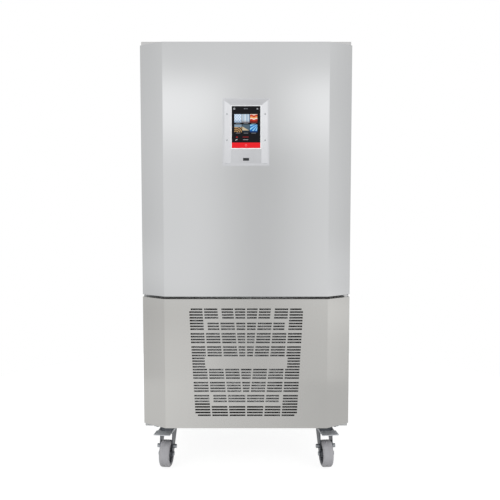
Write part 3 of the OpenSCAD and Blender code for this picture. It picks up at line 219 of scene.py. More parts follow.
turn, reach = np.meshgrid(np.linspace(0, 2 * np.pi, 64, endpoint=False), [0.0, 0.6, 1.2, 1.8], indexing="ij")
floor = pieced("floor", [(np.stack([reach * np.cos(turn), reach * np.sin(turn), 0 * turn], -1), True, False)])
paper, sheet, place = bare_material("white_paper")
ray = node(sheet, "LightPath")
across = node(sheet, "SeparateXYZ", {0: place})
aside = node(sheet, "Math", {0: across}, operation="ABSOLUTE")
# the metal mirrors the floor's glow, a painted pool of light: lighter on the left, where the key lamp stands
inner = node(sheet, "MapRange", {0: across, 1: -0.5, 2: 0.5, 3: 0.88, 4: 0.56})
outer = node(sheet, "MapRange", {0: across, 1: -1.0, 2: 1.0, 3: 0.74, 4: 0.60})
apart = node(sheet, "MapRange", {0: aside, 1: 0.45, 2: 0.7})
mirrored = node(sheet, "Mix", {0: apart, 2: inner, 3: outer})
# the camera sees it shine at 1.2, so that it meets the white background; a lit share keeps the shadow
glare = node(sheet, "Math", {0: mirrored, 1: 1.2}, operation="SUBTRACT")
bright = node(sheet, "Math", {0: ray.outputs["Is Glossy Ray"], 1: glare, 2: 1.2}, operation="MULTIPLY_ADD")
plain = node(sheet, "Math", {0: ray.outputs["Is Camera Ray"], 1: 0.74}, operation="MULTIPLY")
share = node(sheet, "Math", {0: ray.outputs["Is Glossy Ray"], 1: 0.85, 2: plain}, operation="MULTIPLY_ADD")
lit = node(sheet, "BsdfDiffuse", {0: linear("#EDEDEC")})
glow = node(sheet, "Emission", {0: white, 1: bright})
node(sheet, "OutputMaterial", {0: node(sheet, "MixShader", {0: share, 1: lit, 2: glow})})
floor.data.materials.append(paper)

# ---- Base frame: a plate and square tubes, welded and coated in grey powder ----
# It carries the machinery on its plate and the cell on its upper tubes; the casters bolt to its underside.
# A pattern's scale is how many of its marks fit in a metre, so 650 makes them 1.5 mm across.


def shaded(made, tree, colour, value, rough, normal, **more):
    """Ends a material: colour scaled by value, roughness and normal go to the principled shader."""
    tinted = node(tree, "HueSaturation", {"Value": value, "Color": linear(colour)})
    face = node(tree, "BsdfPrincipled", {"Base Color": tinted, "Roughness": rough, "Normal": normal, **more})
    node(tree, "OutputMaterial", {0: face})
    return made


def powder_coat(name, colour, bump=0.06, rough=0.48):
    """Epoxy powder coat or stoved enamel: an even satin colour with a fine orange peel 1.5 mm across.

    The peel is noise that tilts the surface by bump; dust, noise 111 mm across, shifts the tone and gloss.
    """
    made, tree, place = bare_material(name)
    peel = node(tree, "TexNoise", {"Vector": place, "Scale": 650.0, "Detail": 2.0})
    dust = node(tree, "TexNoise", {"Vector": place, "Scale": 9.0, "Detail": 5.0, "Roughness": 0.6})
    tone = node(tree, "MapRange", {0: dust, 1: 0.3, 2: 0.7, 3: 0.9, 4: 1.06})
    gloss = node(tree, "MapRange", {0: dust, 1: 0.3, 2: 0.7, 3: rough - 0.06, 4: rough + 0.08})
    skin = node(tree, "Bump", {"Height": peel, "Strength": bump, "Distance": 0.0006})
    return shaded(made, tree, colour, tone, gloss, skin)


def fit(piece, material, body, slot, *replaced):
    """Gives a new piece its material and body and hides the CAD nodes it stands for; slot is not used."""
    piece.data.materials.clear()
    piece.data.materials.append(material)
    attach(piece, body)
    if replaced:
        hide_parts(*replaced)
    return piece


def softened(name, source, width, material, body, slot, segments=2):
    """A piece that stands for a CAD node: the node's own shape, with its edges rounded to width.

    The copied mesh has its corners merged and its flats joined first, and each edge that turns by more than
    25 degrees is rounded in that many segments.
    """
    mesh = frame["nodes"][source].data.copy()
    mesh.name = name
    work = bmesh.new()
    work.from_mesh(mesh)
    bmesh.ops.remove_doubles(work, verts=work.verts, dist=2e-6)
    bmesh.ops.dissolve_limit(work, angle_limit=math.radians(0.6), verts=work.verts, edges=work.edges)
    work.to_mesh(mesh)
    work.free()
    if "custom_normal" in mesh.attributes:
        mesh.attributes.remove(mesh.attributes["custom_normal"])
    mesh.polygons.foreach_set("use_smooth", np.ones(len(mesh.polygons), bool))
    piece = stood(name, mesh)
    edge = piece.modifiers.new("round", "BEVEL")
    edge.width = width
    edge.segments = segments
    edge.limit_method = "ANGLE"
    edge.angle_limit = math.radians(25)
    edge.harden_normals = True
    edge.miter_outer = "MITER_SHARP"
    return fit(piece, material, body, slot, source)


def finish(material, *names):
    """Gives the material to CAD nodes, by name."""
    for name in names:
        frame["nodes"][name].data.materials.clear()
        frame["nodes"][name].data.materials.append(material)


frame_grey = powder_coat("frame_grey_powder", "#C6C8C8")
softened("frame_weldment", "base_frame", 0.0014, frame_grey, "cabinet", "frame_steel")

# ---- Machine bay covers: ground stainless sides and a louvred back ----
# The side sheets cover the frame and fold round the back; the grille is screwed on between them.


def brushed_steel(name, colour, rough, grain, cloudy=0.0):
    """Stainless sheet ground with a belt: fine upright scratches, which draw its shine out sideways.

    The real ones, 0.1 mm wide, are too fine to show, so they are drawn 1 mm wide and 110 mm long: noise
    stretched along Z, mixed with broader streaks 7 mm wide. They shift the colour by grain, the gloss a
    little and the normal; cloudy is how much a slow noise, 300 mm across, lightens and darkens the sheet.
    """
    made, tree, place = bare_material(name)
    noises = []
    for flat, upright, detail in ((900.0, 9.0, 3.0), (150.0, 2.4, 4.0), (3.2, 2.0, 1.0)):
        drawn = node(tree, "Mapping", {"Vector": place, "Scale": (flat, flat, upright)})
        noises.append(node(tree, "TexNoise", {"Vector": drawn, "Scale": 1.0, "Detail": detail}))
    fine, broad, cloud = noises
    broad = node(tree, "Math", {0: broad, 1: 0.35}, operation="MULTIPLY")
    both = node(tree, "Math", {0: fine, 1: 0.65, 2: broad}, operation="MULTIPLY_ADD")
    streak = node(tree, "MapRange", {0: both, 1: 0.3, 2: 0.7, 3: 1 - grain, 4: 1 + grain})
    haze = node(tree, "MapRange", {0: cloud, 1: 0.3, 2: 0.7, 3: 1 - cloudy, 4: 1 + cloudy})
    tone = node(tree, "Math", {0: streak, 1: haze}, operation="MULTIPLY")
    gloss = node(tree, "MapRange", {0: both, 1: 0.3, 2: 0.7, 3: rough - 0.012, 4: rough + 0.012})
    scratch = node(tree, "Bump", {"Height": fine, "Strength": 0.01, "Distance": 0.0004})
    return shaded(made, tree, colour, tone, gloss, scratch, Metallic=1.0, Anisotropic=0.25)


cabinet_steel = brushed_steel("cabinet_steel_ground", "#D8D8D7", 0.2, 0.02, 0.02)
for hand in ("left", "right"):
    softened("side_sheet_" + hand, "side_cover_" + hand, 0.0004, cabinet_steel, "cabinet", "cabinet_steel")
back_steel = brushed_steel("back_steel_mill", "#C4C5C4", 0.36, 0.04, 0.05)
softened("louvred_back", "rear_grille", 0.0004, back_steel, "cabinet", "cabinet_steel")

# ---- Fixings of the bay: caster plates, bolts and screws, zinc plated; gland and catches of nylon ----
# The plates are pressed steel; plating leaves a blue-grey shine with a crystal grain of 1 to 2 mm.


def plated(name, colour, rough, shine=1.0):
    """Plated or drawn metal, such as zinc, chrome or copper: its crystals, 2 mm across, differ in gloss.

    The crystals and stains 38 mm across, in noise, shift the tone, gloss and normal together. shine is the
    metallic share; a chalky, weathered coat has less.
    """
    made, tree, place = bare_material(name)
    crystal = node(tree, "TexVoronoi", {"Vector": place, "Scale": 520.0})
    stain = node(tree, "TexNoise", {"Vector": place, "Scale": 26.0, "Detail": 4.0})
    mixed = node(tree, "Math", {0: crystal, 1: 0.18, 2: stain}, operation="MULTIPLY_ADD")
    tone = node(tree, "MapRange", {0: mixed, 1: 0.3, 2: 0.8, 3: 0.86, 4: 1.08})
    gloss = node(tree, "MapRange", {0: mixed, 1: 0.3, 2: 0.8, 3: rough - 0.05, 4: rough + 0.08})
    grit = node(tree, "Bump", {"Height": mixed, "Strength": 0.08, "Distance": 0.0005})
    return shaded(made, tree, colour, tone, gloss, grit, Metallic=shine)


zinc = plated("zinc_plating", "#B4B8BC", 0.34)
softened("mounting_plates", "caster_plates", 0.0006, zinc, "cabinet", "zinc")
softened("bolts", "fasteners", 0.0005, zinc, "cabinet", "zinc")


def moulded(name, colour, rough, bump=0.12):
    """Nylon or rubber out of a mould: one even colour over the mould's texture. With bump 0, plain glass.

    The texture is noise that tilts the surface by bump; it is drawn 2.4 mm across, because the real one is
    too fine to show. Wear, noise 71 mm across, shifts the tone and gloss.
    """
    made, tree, place = bare_material(name)
    texture = node(tree, "TexNoise", {"Vector": place, "Scale": 420.0, "Detail": 3.0})
    wear = node(tree, "TexNoise", {"Vector": place, "Scale": 14.0, "Detail": 4.0})
    tone = node(tree, "MapRange", {0: wear, 1: 0.3, 2: 0.7, 3: 0.9, 4: 1.1})
    gloss = node(tree, "MapRange", {0: wear, 1: 0.3, 2: 0.7, 3: rough - 0.05, 4: rough + 0.06})
    skin = node(tree, "Bump", {"Height": texture, "Strength": bump, "Distance": 0.0004})
    return shaded(made, tree, colour, tone, gloss, skin)


black_nylon = moulded("black_nylon", "#232527", 0.5)
softened("gland", "mains_gland", 0.0006, black_nylon, "cabinet", "black_plastic")
softened("catches", "panel_catches", 0.001, black_nylon, "cabinet", "black_plastic")

# ---- Insulated cabinet: ground stainless outside, foamed in place, with a satin liner ----
# The shell folds round the sides and top; the mouth frame joins it to the liner, and foam fills the rest.

softened("shell_sheet", "cabinet_shell", 0.0004, cabinet_steel, "cabinet", "cabinet_steel")
finish(back_steel, "cabinet_back")
finish(brushed_steel("mouth_steel_ground", "#D8D8D8", 0.3, 0.03, 0.02), "mouth_frame")
liner_steel = brushed_steel("liner_steel_satin", "#D0D2D3", 0.34, 0.03, 0.03)
finish(liner_steel, "cell_liner")


def cast_foam(name, colour):
    """Foamed polyurethane: a cream skin, dull and pitted by blown cells.

    The cells, too fine to show, are drawn 4 mm across: a Voronoi pattern that tilts the surface. Age, noise
    83 mm across, shifts the tone.
    """
    made, tree, place = bare_material(name)
    cells = node(tree, "TexVoronoi", {"Vector": place, "Scale": 260.0})
    age = node(tree, "TexNoise", {"Vector": place, "Scale": 12.0, "Detail": 4.0})
    tone = node(tree, "MapRange", {0: age, 1: 0.3, 2: 0.7, 3: 0.88, 4: 1.06})
    skin = node(tree, "Bump", {"Height": cells, "Strength": 0.4, "Distance": 0.0008})
    return shaded(made, tree, colour, tone, 0.85, skin)


finish(cast_foam("foamed_polyurethane", "#E6D9A8"), "cabinet_foam", "door_foam")

# ---- Hinges: plates and pins, bright zinc plated and polished ----
# Each plate is a flat tongue with a round end; the pins turn in bushes at the ends of the door and panel.

hinge_zinc = plated("polished_zinc", "#DCDCDC", 0.3)
softened("hinge_tongues", "hinge_plates", 0.0005, hinge_zinc, "cabinet", "zinc")

# ---- Tray racks: uprights and ten pairs of folded runners in satin stainless ----
# The uprights stand against the liner and the runners clip to them, an angle to each level.

rack_steel = brushed_steel("rack_steel_satin", "#C9CBCC", 0.3, 0.03, 0.02)
softened("uprights", "rack_uprights", 0.001, rack_steel, "cabinet", "liner_steel")
for hand in ("left", "right"):
    softened("angles_" + hand, "runners_" + hand, 0.0006, rack_steel, "cabinet", "liner_steel")

# ---- Cold side: fan panel, guards, motors and fans ----
# The panel and drip tray are satin stainless, the guards chromed wire, the motors black enamel.
# The fans are moulded nylon: five blades, twisted from steep at the hub to flat at the tip.

FAN_BLADES = 5
HUB_PITCH, TIP_PITCH = 52, 27

softened("air_panel", "fan_panel", 0.0004, rack_steel, "cabinet", "liner_steel")
softened("condensate_tray", "drip_tray", 0.0004, rack_steel, "cabinet", "liner_steel")
chrome = plated("bright_chrome", "#C8CCCF", 0.2)
finish(chrome, "fan_guards")
enamel = powder_coat("black_enamel", "#26292B", 0.03, 0.36)


def revolved(profile, centre, axis, count=64):
    """A grid made by turning a profile of (distance along the axis, radius) about the axis through centre."""
    along, radius = np.array(profile, float).T
    axis = np.asarray(axis, float) / np.linalg.norm(axis)
    side = np.cross(axis, (0.31, 0.22, 0.925))
    side /= np.linalg.norm(side)
    angle = np.linspace(0, 2 * np.pi, count, endpoint=False)[:, None, None]
    ring = np.cos(angle) * side + np.sin(angle) * np.cross(axis, side)
    return np.asarray(centre) + along[None, :, None] * axis + radius[None, :, None] * ring, True, False


def blades(centre, hub, tip, depth):
    """Fan blades about a line along +Y: a thin oval section is set at a pitch that eases from steep to flat.

    s runs from hub to tip and t round the section. The half chord is 0.42 of the gap to the next blade, over
    the pitch's cosine, or less where the fan's depth needs it; it closes to a round tip, and the oval is
    bowed by 0.06 of it. The section bends round the axis and sweeps on by 0.35 of s squared, like a scimitar.
    """
    s, t = np.meshgrid(np.linspace(0, 1, 14), np.linspace(0, 2 * np.pi, 22, endpoint=False), indexing="ij")
    radius = hub * 0.94 + (tip - hub * 0.94) * s
    pitch = np.radians(HUB_PITCH + (TIP_PITCH - HUB_PITCH) * s ** 0.7)
    chord = np.minimum(0.42 * (2 * np.pi * radius / FAN_BLADES) / np.cos(pitch), 0.47 * depth / np.sin(pitch))
    chord = chord * np.sqrt(np.clip(1 - (np.clip(s - 0.86, 0, 1) / 0.15) ** 2, 0.02, 1))
    thin = 0.0011 * (1.5 - s)
    u, v = chord * np.cos(t), thin * np.sin(t) + 0.06 * chord * (1 - np.cos(t) ** 2)
    round_by = (u * np.cos(pitch) - v * np.sin(pitch)) / radius + 0.35 * s ** 2
    along = np.clip(u * np.sin(pitch) + v * np.cos(pitch), -depth / 2, depth / 2)
    grids = []
    for k in range(FAN_BLADES):
        angle = round_by + 2 * np.pi * k / FAN_BLADES
        grid = np.stack([radius * np.cos(angle), along, radius * np.sin(angle)], -1) + np.asarray(centre)
        grids.append((np.concatenate([grid, grid[-1:].mean(1, keepdims=True).repeat(22, 1)]), False, True))
    return grids


for name, hub, bore in (("evaporator_fan_upper", 0.028, 0.00405), ("evaporator_fan_lower", 0.028, 0.00405),
                        ("condenser_fan", 0.035, 0.00605)):
    low, high = (np.array(c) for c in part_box(name))
    middle = (low + high) / 2
    tip = (high[2] - low[2]) / 2 - 0.0006
    depth = high[1] - low[1]
    front, rear = -depth / 2, depth / 2
    rim = [(front, bore), (front, hub - 0.004), (front + 0.0012, hub - 0.0012), (front + 0.004, hub),
           (rear, hub), (rear, hub - 0.003), (rear - 0.006, hub - 0.0035), (rear - 0.006, bore + 0.005),
           (rear, bore + 0.004), (rear, bore), (front, bore)]
    impeller = pieced(name.replace("fan", "impeller"),
                      [revolved(rim, middle, (0, 1, 0))] + blades(middle, hub, tip, depth - 0.001))
    fit(impeller, black_nylon, name, "black_plastic", name)

# motors: a drum with six grooves and a boss, and the shaft that carries the fan
MOTOR_HEIGHTS = (0.987, 1.323)
low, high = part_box("evaporator_motors")
shaft_end = high[1] - low[1]
grooves = [(0.004 + 0.0045 * k + d, r) for k in range(6)
           for d, r in ((0, 0.038), (0.0012, 0.0355), (0.0032, 0.0355), (0.0044, 0.038))]
drum = [(0, 0.0), (0, 0.034), (0.002, 0.038)] + grooves + [
    (0.036, 0.038), (0.0385, 0.034), (0.039, 0.014), (0.039, 0.004), (shaft_end, 0.004), (shaft_end, 0.0)]
drums = [revolved(drum, (0, low[1], z), (0, 1, 0)) for z in MOTOR_HEIGHTS]
fit(pieced("evaporator_motor_drums", drums), enamel, "cabinet", "motor_black", "evaporator_motors")

# ---- Coils: pressed fins on copper tube, between end plates ----
# The fins are aluminium foil 0.2 mm thick, waved front to back so that air scours them, and a little bent.
# The condenser's are dull with dust, the evaporator's bright; heat has darkened the condenser's tubes.

FOIL_HALF = 0.0001
END_PLATE = 0.002


def foil(name, clean, dusty, mark, shine=0.7):
    """Mill-finish aluminium foil: bright where clean, dull grey in low, wide patches mark metres high.

    The patches are noise, three times as wide as high. shine is the metallic share; oxide and dust scatter
    the rest.
    """
    made, tree, place = bare_material(name)
    spread = node(tree, "Mapping", {"Vector": place, "Scale": (0.35 / mark, 0.35 / mark, 1 / mark)})
    patch = node(tree, "TexNoise", {"Vector": spread, "Scale": 1.0, "Detail": 2.0, "Roughness": 0.5})
    share = node(tree, "MapRange", {0: patch, 1: 0.42, 2: 0.60})
    colour = node(tree, "Mix", {"Factor": share, 6: linear(dusty), 7: linear(clean)}, data_type="RGBA")
    dull = node(tree, "MapRange", {0: share, 3: 0.62, 4: 0.34})
    face = node(tree, "BsdfPrincipled", {"Base Color": colour.outputs[2], "Metallic": shine,
                                         "Roughness": dull})
    node(tree, "OutputMaterial", {0: face})
    return made


def fin_grids(count, half, depths, heights, wave, seed):
    """Fins side by side across X: each is a thin sheet that follows a sine from front to back.

    The sine has three and a half turns and a reach of wave. A slow random curve, smoothed over its
    neighbours, leans each fin by about 0.4 mm, so that the pack shines in patches.
    """
    rng = np.random.default_rng(seed)
    y, z = np.linspace(*depths, 22), np.linspace(*heights, 6)
    lean = rng.normal(size=(count + 6, 6))
    lean = sum(lean[k:k + count] for k in range(6)) / 2.4
    at = -half + (np.arange(count) + 0.5) * 2 * half / count
    sway = wave * np.sin(2 * np.pi * 3.5 * (y - y[0]) / (y[-1] - y[0]))
    x = at[:, None, None] + sway[None, :, None] + 0.0004 * lean[:, None, :]
    grid = np.stack(np.broadcast_arrays(x, y[None, :, None], z[None, None, :]), -1)
    wall = np.array((FOIL_HALF, 0, 0))
    loop = np.concatenate([grid - wall, grid[:, ::-1] + wall], axis=1)
    cap = np.concatenate([grid, grid[:, ::-1]], axis=1)
    loop = np.concatenate([cap[:, :, :1], loop, cap[:, :, -1:]], axis=2)
    return [(one, True, False) for one in loop]


def plate_grid(low, high):
    """A closed plate: the outline of its X and Y sides, carried from the bottom's middle to the top's."""
    x0, y0, z0 = low
    x1, y1, z1 = high
    ring = np.array([(x0, y0), (x1, y0), (x1, y1), (x0, y1)])
    mid = np.broadcast_to(ring.mean(0), (4, 2))
    rows = [(mid, z0), (ring, z0), (ring, z1), (mid, z1)]
    return np.stack([np.column_stack([r, np.full(4, z)]) for r, z in rows], axis=1), True, False


def coil(name, source, metal, half, fins):
    """A pack of fins between two end plates, each at the distance half from the middle."""
    low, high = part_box(source)
    plates = [plate_grid((x, low[1], low[2]), (x + END_PLATE, high[1], high[2]))
              for x in (-half - END_PLATE, half)]
    fit(pieced(name, fins + plates), metal, "cabinet", "fin_aluminium", source)


low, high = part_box("condenser_fins")
coil("condenser_core", "condenser_fins", foil("condenser_foil", "#F2F3F3", "#B2B4B6", 0.006, 0.1), 0.210,
     fin_grids(200, 0.208, (low[1], high[1]), (0.250, 0.650), 0.0022, 3))
low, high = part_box("evaporator_fins")
coil("evaporator_core", "evaporator_fins", foil("evaporator_foil", "#D2D6D8", "#9DA2A5", 0.02), 0.250,
     fin_grids(100, 0.249, (low[1] + 0.0285, low[1] + 0.1485), (0.805, 1.505), 0.0012, 4))
finish(plated("drawn_copper", "#C07C50", 0.32), "evaporator_tubes")
finish(plated("darkened_copper", "#75655B", 0.42), "condenser_tubes")

# ---- Warm side: shroud, motor, compressor, receiver, drier and pipework ----
# The shroud is painted sheet; the vessels are drawn steel shells, welded round the middle and enamelled.
# The pipes are copper, bent cold to a radius of four times their own.

DECK = 0.168
PIPE, SUCTION_PIPE = 0.005, 0.008

shroud_paint = powder_coat("shroud_grey", "#4A4D50")
softened("fan_shroud", "condenser_shroud", 0.0005, shroud_paint, "cabinet", "shroud_grey")
softened("condenser_motor_body", "condenser_motor", 0.0014, enamel, "cabinet", "motor_black")


def slab(low, high, corner, edge):
    """A block with round upright corners and round top and bottom edges, as one closed grid.

    Its outline, drawn in by how deep the edge's rounding is at that height, is carried from the middle of
    the bottom to the middle of the top; low and high are the corners of its box, as arrays.
    """
    steps = 5
    quarter = np.linspace(0, np.pi / 2, steps)
    angle = np.concatenate([quarter + k * np.pi / 2 for k in range(4)])
    cx = np.repeat([high[0] - corner, low[0] + corner, low[0] + corner, high[0] - corner], steps)
    cy = np.repeat([high[1] - corner, high[1] - corner, low[1] + corner, low[1] + corner], steps)
    roll = np.linspace(0, np.pi / 2, 4)
    drawn = np.concatenate([edge * (1 - np.sin(roll)), edge * (1 - np.sin(roll[::-1]))])
    height = np.concatenate([low[2] + edge * (1 - np.cos(roll)), high[2] - edge * (1 - np.cos(roll[::-1]))])
    x = cx[:, None] + (corner - drawn)[None] * np.cos(angle)[:, None]
    y = cy[:, None] + (corner - drawn)[None] * np.sin(angle)[:, None]
    body = np.stack([x, y, np.broadcast_to(height, x.shape)], -1)
    middle = (low + high) / 2
    foot, head = (np.broadcast_to((middle[0], middle[1], z), (len(angle), 1, 3)) for z in (low[2], high[2]))
    return np.concatenate([foot, body, head], axis=1), True, False


def vessel(foot, radius, height, edge, seam):
    """A standing shell of revolution: ends rounded to the radius edge, and a weld raised by 1.2 mm.

    foot is the middle of its underside, and the weld lies at seam of its height.
    """
    wall, mid = radius - 0.0012, height * seam
    arc = np.linspace(0, np.pi / 2, 8)
    end = [(edge * (1 - math.cos(a)), wall - edge + edge * math.sin(a)) for a in arc]
    weld = [(mid - 0.0065, wall), (mid - 0.006, radius - 0.0004), (mid - 0.003, radius), (mid, radius),
            (mid + 0.003, radius), (mid + 0.006, radius - 0.0004), (mid + 0.0065, wall)]
    profile = [(0, 0)] + end + [(edge + 0.002, wall)] + weld + [(height - edge - 0.002, wall)]
    profile += [(height - a, r) for a, r in end[::-1]] + [(height, 0)]
    return revolved(profile, foot, (0, 0, 1), 72)


# compressor: shell on a foot plate with rubber feet, and the cover of its terminals
compressor_at = np.array((-0.190, 0.130, DECK))
rubber_foot = [(0, 0), (0, 0.0125), (0.001, 0.013), (0.005, 0.013), (0.006, 0.0115), (0.008, 0.0115),
               (0.009, 0.013), (0.014, 0.013), (0.014, 0)]
grids = [vessel(compressor_at + (0, 0, 0.019), 0.100, 0.310, 0.045, 0.52),
         slab(compressor_at + (-0.103, -0.103, 0.014), compressor_at + (0.103, 0.103, 0.019), 0.02, 0.001),
         slab(compressor_at + (-0.130, -0.035, 0.1535), compressor_at + (-0.085, 0.035, 0.2335), 0.006,
              0.004)]
grids += [revolved(rubber_foot, compressor_at + (x, y, 0), (0, 0, 1), 32)
          for x in (-0.085, 0.085) for y in (-0.085, 0.085)]
fit(pieced("compressor_shell", grids), enamel, "cabinet", "motor_black", "compressor")

# liquid receiver on its ring foot
receiver_at = np.array((0.020, 0.190, DECK))
ring_foot = [(0, 0.044), (0, 0.047), (0.040, 0.047), (0.040, 0.044), (0, 0.044)]
grids = [vessel(receiver_at + (0, 0, 0.020), 0.055, 0.300, 0.030, 0.5),
         revolved(ring_foot, receiver_at, (0, 0, 1))]
fit(pieced("receiver_shell", grids), enamel, "cabinet", "motor_black", "liquid_receiver")

# filter drier: a copper shell spun down to the pipe at both ends, with a bead near each
copper_pipe = plated("bent_copper", "#B97449", 0.3)
drier_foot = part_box("filter_drier")[0][2]
spun = [(0, 0.0), (0, 0.008), (0.004, 0.014), (0.012, 0.0235), (0.014, 0.024), (0.018, 0.024),
        (0.019, 0.0236), (0.091, 0.0236), (0.092, 0.024), (0.096, 0.024), (0.098, 0.0235), (0.106, 0.014),
        (0.110, 0.008), (0.110, 0)]
fit(pieced("spun_drier", [revolved(spun, (0.020, 0.060, drier_foot), (0, 0, 1))]), copper_pipe, "cabinet",
    "copper", "filter_drier")


def bent(corners, radius):
    """A path through corners, each rounded by an arc of the given radius, as on a pipe bender.

    The arc's centre lies on the corner's bisector; where a straight is short, the radius shrinks so that the
    arc takes 0.48 of it at most.
    """
    c = np.asarray(corners, float)
    path = [c[:1]]
    for a, b, d in zip(c[:-2], c[1:-1], c[2:]):
        u, v = (a - b) / np.linalg.norm(a - b), (d - b) / np.linalg.norm(d - b)
        half = math.acos(np.clip(u @ v, -1, 1)) / 2
        r = min(radius, 0.48 * min(np.linalg.norm(a - b), np.linalg.norm(d - b)) * math.tan(half))
        centre = b + (u + v) / np.linalg.norm(u + v) * r / math.sin(half)
        first, last = (b + u * r / math.tan(half) - centre) / r, (b + v * r / math.tan(half) - centre) / r
        swing = math.pi - 2 * half
        other = (last - math.cos(swing) * first) / math.sin(swing)
        angle = np.linspace(0, swing, 9)[:, None]
        path.append(centre + r * (np.cos(angle) * first + np.sin(angle) * other))
    return np.concatenate(path + [c[-1:]])


def tube(path, radius, count=16):
    """A closed round bar along a path: at each point a circle stands square to it, and the ends are flat."""
    run = np.gradient(path, axis=0)
    run /= np.linalg.norm(run, axis=1, keepdims=True)
    side = np.cross(run, (0.36, 0.48, 0.80))
    side /= np.linalg.norm(side, axis=1, keepdims=True)
    up = np.cross(run, side)
    angle = np.linspace(0, 2 * np.pi, count, endpoint=False)[None, :, None]
    ring = path[:, None] + radius * (np.cos(angle) * side[:, None] + np.sin(angle) * up[:, None])
    ends = [path[:1, None].repeat(count, 1), path[-1:, None].repeat(count, 1)]
    return np.concatenate([ends[0], ring, ends[1]]), False, True


# five lines: discharge, condensate, liquid to the drier, liquid to the cell, and the wider suction line
discharge = [(-0.160, 0.130, 0.490), (-0.160, 0.130, 0.530), (-0.160, -0.090, 0.530), (0.257, -0.090, 0.530),
             (0.257, -0.2412, 0.530), (0.257, -0.2412, 0.626), (0.215, -0.2412, 0.626)]
condensate = [(0.215, -0.2688, 0.626), (0.282, -0.2688, 0.626), (0.282, -0.2688, 0.208),
              (0.282, -0.090, 0.208), (0.125, -0.090, 0.208), (0.125, 0.190, 0.208), (0.125, 0.190, 0.513),
              (0.035, 0.190, 0.513), (0.035, 0.190, 0.480)]
to_drier = [(0.005, 0.190, 0.480), (0.005, 0.190, 0.513), (0.005, 0.060, 0.513), (0.020, 0.060, 0.513),
            (0.020, 0.060, 0.456)]
to_cell = [(0.020, 0.060, 0.350), (0.020, 0.060, 0.300), (0.020, 0.010, 0.300), (-0.300, 0.010, 0.300),
           (-0.300, 0.225, 0.300), (-0.300, 0.225, 0.84875), (-0.256, 0.225, 0.84875)]
suction = [(-0.256, 0.285, 0.84875), (-0.305, 0.285, 0.84875), (-0.305, 0.285, 0.348), (-0.190, 0.285, 0.348),
           (-0.190, 0.2285, 0.348)]
lines = [tube(bent(route, 4 * PIPE), PIPE) for route in (discharge, condensate, to_drier, to_cell)]
lines.append(tube(bent(suction, 4 * SUCTION_PIPE), SUCTION_PIPE, 20))
# a brazed collar stands where a line enters a vessel
for place, way, r in (((-0.160, 0.130, 0.494), (0, 0, 1), PIPE), ((0.035, 0.190, 0.484), (0, 0, 1), PIPE),
                      ((0.005, 0.190, 0.484), (0, 0, 1), PIPE), ((0.020, 0.060, 0.456), (0, 0, 1), PIPE),
                      ((0.020, 0.060, 0.350), (0, 0, -1), PIPE),
                      ((-0.190, 0.227, 0.348), (0, 1, 0), SUCTION_PIPE)):
    collar = [(0, 0), (0, r + 0.0022), (0.010, r + 0.0022), (0.012, r), (0.012, 0)]
    lines.append(revolved(collar, place, way, 24))
fit(pieced("pipework", lines), copper_pipe, "cabinet", "copper", "refrigerant_pipes")

# ---- Electrical box: folded steel painted light grey, three contactors on its back ----
# Its cover is a flat sheet, screwed on at the front by six pan heads.

box_paint = powder_coat("box_grey", "#BFC1BF")
finish(box_paint, "electrical_box")
softened("box_cover", "electrical_cover", 0.0005, box_paint, "cabinet", "box_grey")
low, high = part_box("electrical_cover")
pan_head = [(0, 0), (0, 0.0042), (-0.0012, 0.0038), (-0.0020, 0.0022), (-0.0021, 0.0)]
heads = [revolved(pan_head, (x, low[1] + 0.0002, z), (0, 1, 0), 24)
         for x in (low[0] + 0.010, high[0] - 0.010)
         for z in (low[2] + 0.020, (low[2] + high[2]) / 2, high[2] - 0.020)]
fit(pieced("cover_screws", heads), zinc, "cabinet", "zinc")

# ---- Door: a folded stainless skin over foam, chamfered at both sides ----
# One sheet is folded at the chamfers, sides, top and bottom; a satin liner closes the back.

door_steel = brushed_steel("door_steel_ground", "#DFE0E1", 0.11, 0.012, 0.012)
softened("door_sheet", "door_skin", 0.0012, door_steel, "door", "door_steel", segments=3)
softened("door_inner_panel", "door_liner", 0.0015, liner_steel, "door", "liner_steel", segments=3)

# ---- Gasket: extruded rubber with a barbed foot, a bellows and a magnet pocket, mitred at the corners ----
# Its section is carried round the door's back; the welded corners are plain mitres.


def framed(section, half, z0, z1):
    """A ring round a rectangle that faces -Y: a section of (outwards, y), carried round with mitred corners.

    The rectangle reaches half to each side of the middle plane, and from z0 to z1.
    """
    out, y = np.array(section, float).T
    corners = np.array([(-1, -1), (1, -1), (1, 1), (-1, 1)], float)
    x = corners[:, :1] * (half + out[None])
    z = np.where(corners[:, 1:] < 0, z0 - out[None], z1 + out[None])
    return np.stack([x, np.broadcast_to(y, x.shape), z], -1), True, True


low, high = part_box("door_gasket")
back, tip = low[1], high[1]
section = [(-0.018, back), (0, back), (0, back + 0.0022), (-0.0015, back + 0.0030), (-0.0040, back + 0.0030),
           (-0.0034, back + 0.0038), (-0.0044, back + 0.0046), (-0.0034, back + 0.0054),
           (-0.0032, tip - 0.0012), (-0.0040, tip - 0.0003), (-0.0060, tip), (-0.0120, tip),
           (-0.0140, tip - 0.0003), (-0.0148, tip - 0.0012), (-0.0146, back + 0.0054),
           (-0.0136, back + 0.0046), (-0.0146, back + 0.0038), (-0.0140, back + 0.0030),
           (-0.0165, back + 0.0030), (-0.018, back + 0.0022)]
rubber = moulded("gasket_rubber", "#505355", 0.6)
fit(pieced("gasket_bellows", [framed(section, high[0], low[2], high[2])]), rubber, "door", "gasket",
    "door_gasket")

# ---- Control panel: a silver dished moulding let into the door, with a black glass touch screen ----
# The moulding is lacquered; the glass lies in it on a thin bright lip, and four domed screws hold it.

BEZEL_MIDDLE = 1.295
(_, SCREEN_FRONT, SCREEN_FOOT), (SCREEN_HALF, _, SCREEN_TOP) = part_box("touch_screen")
LIP_Y = SCREEN_FRONT + 0.0015


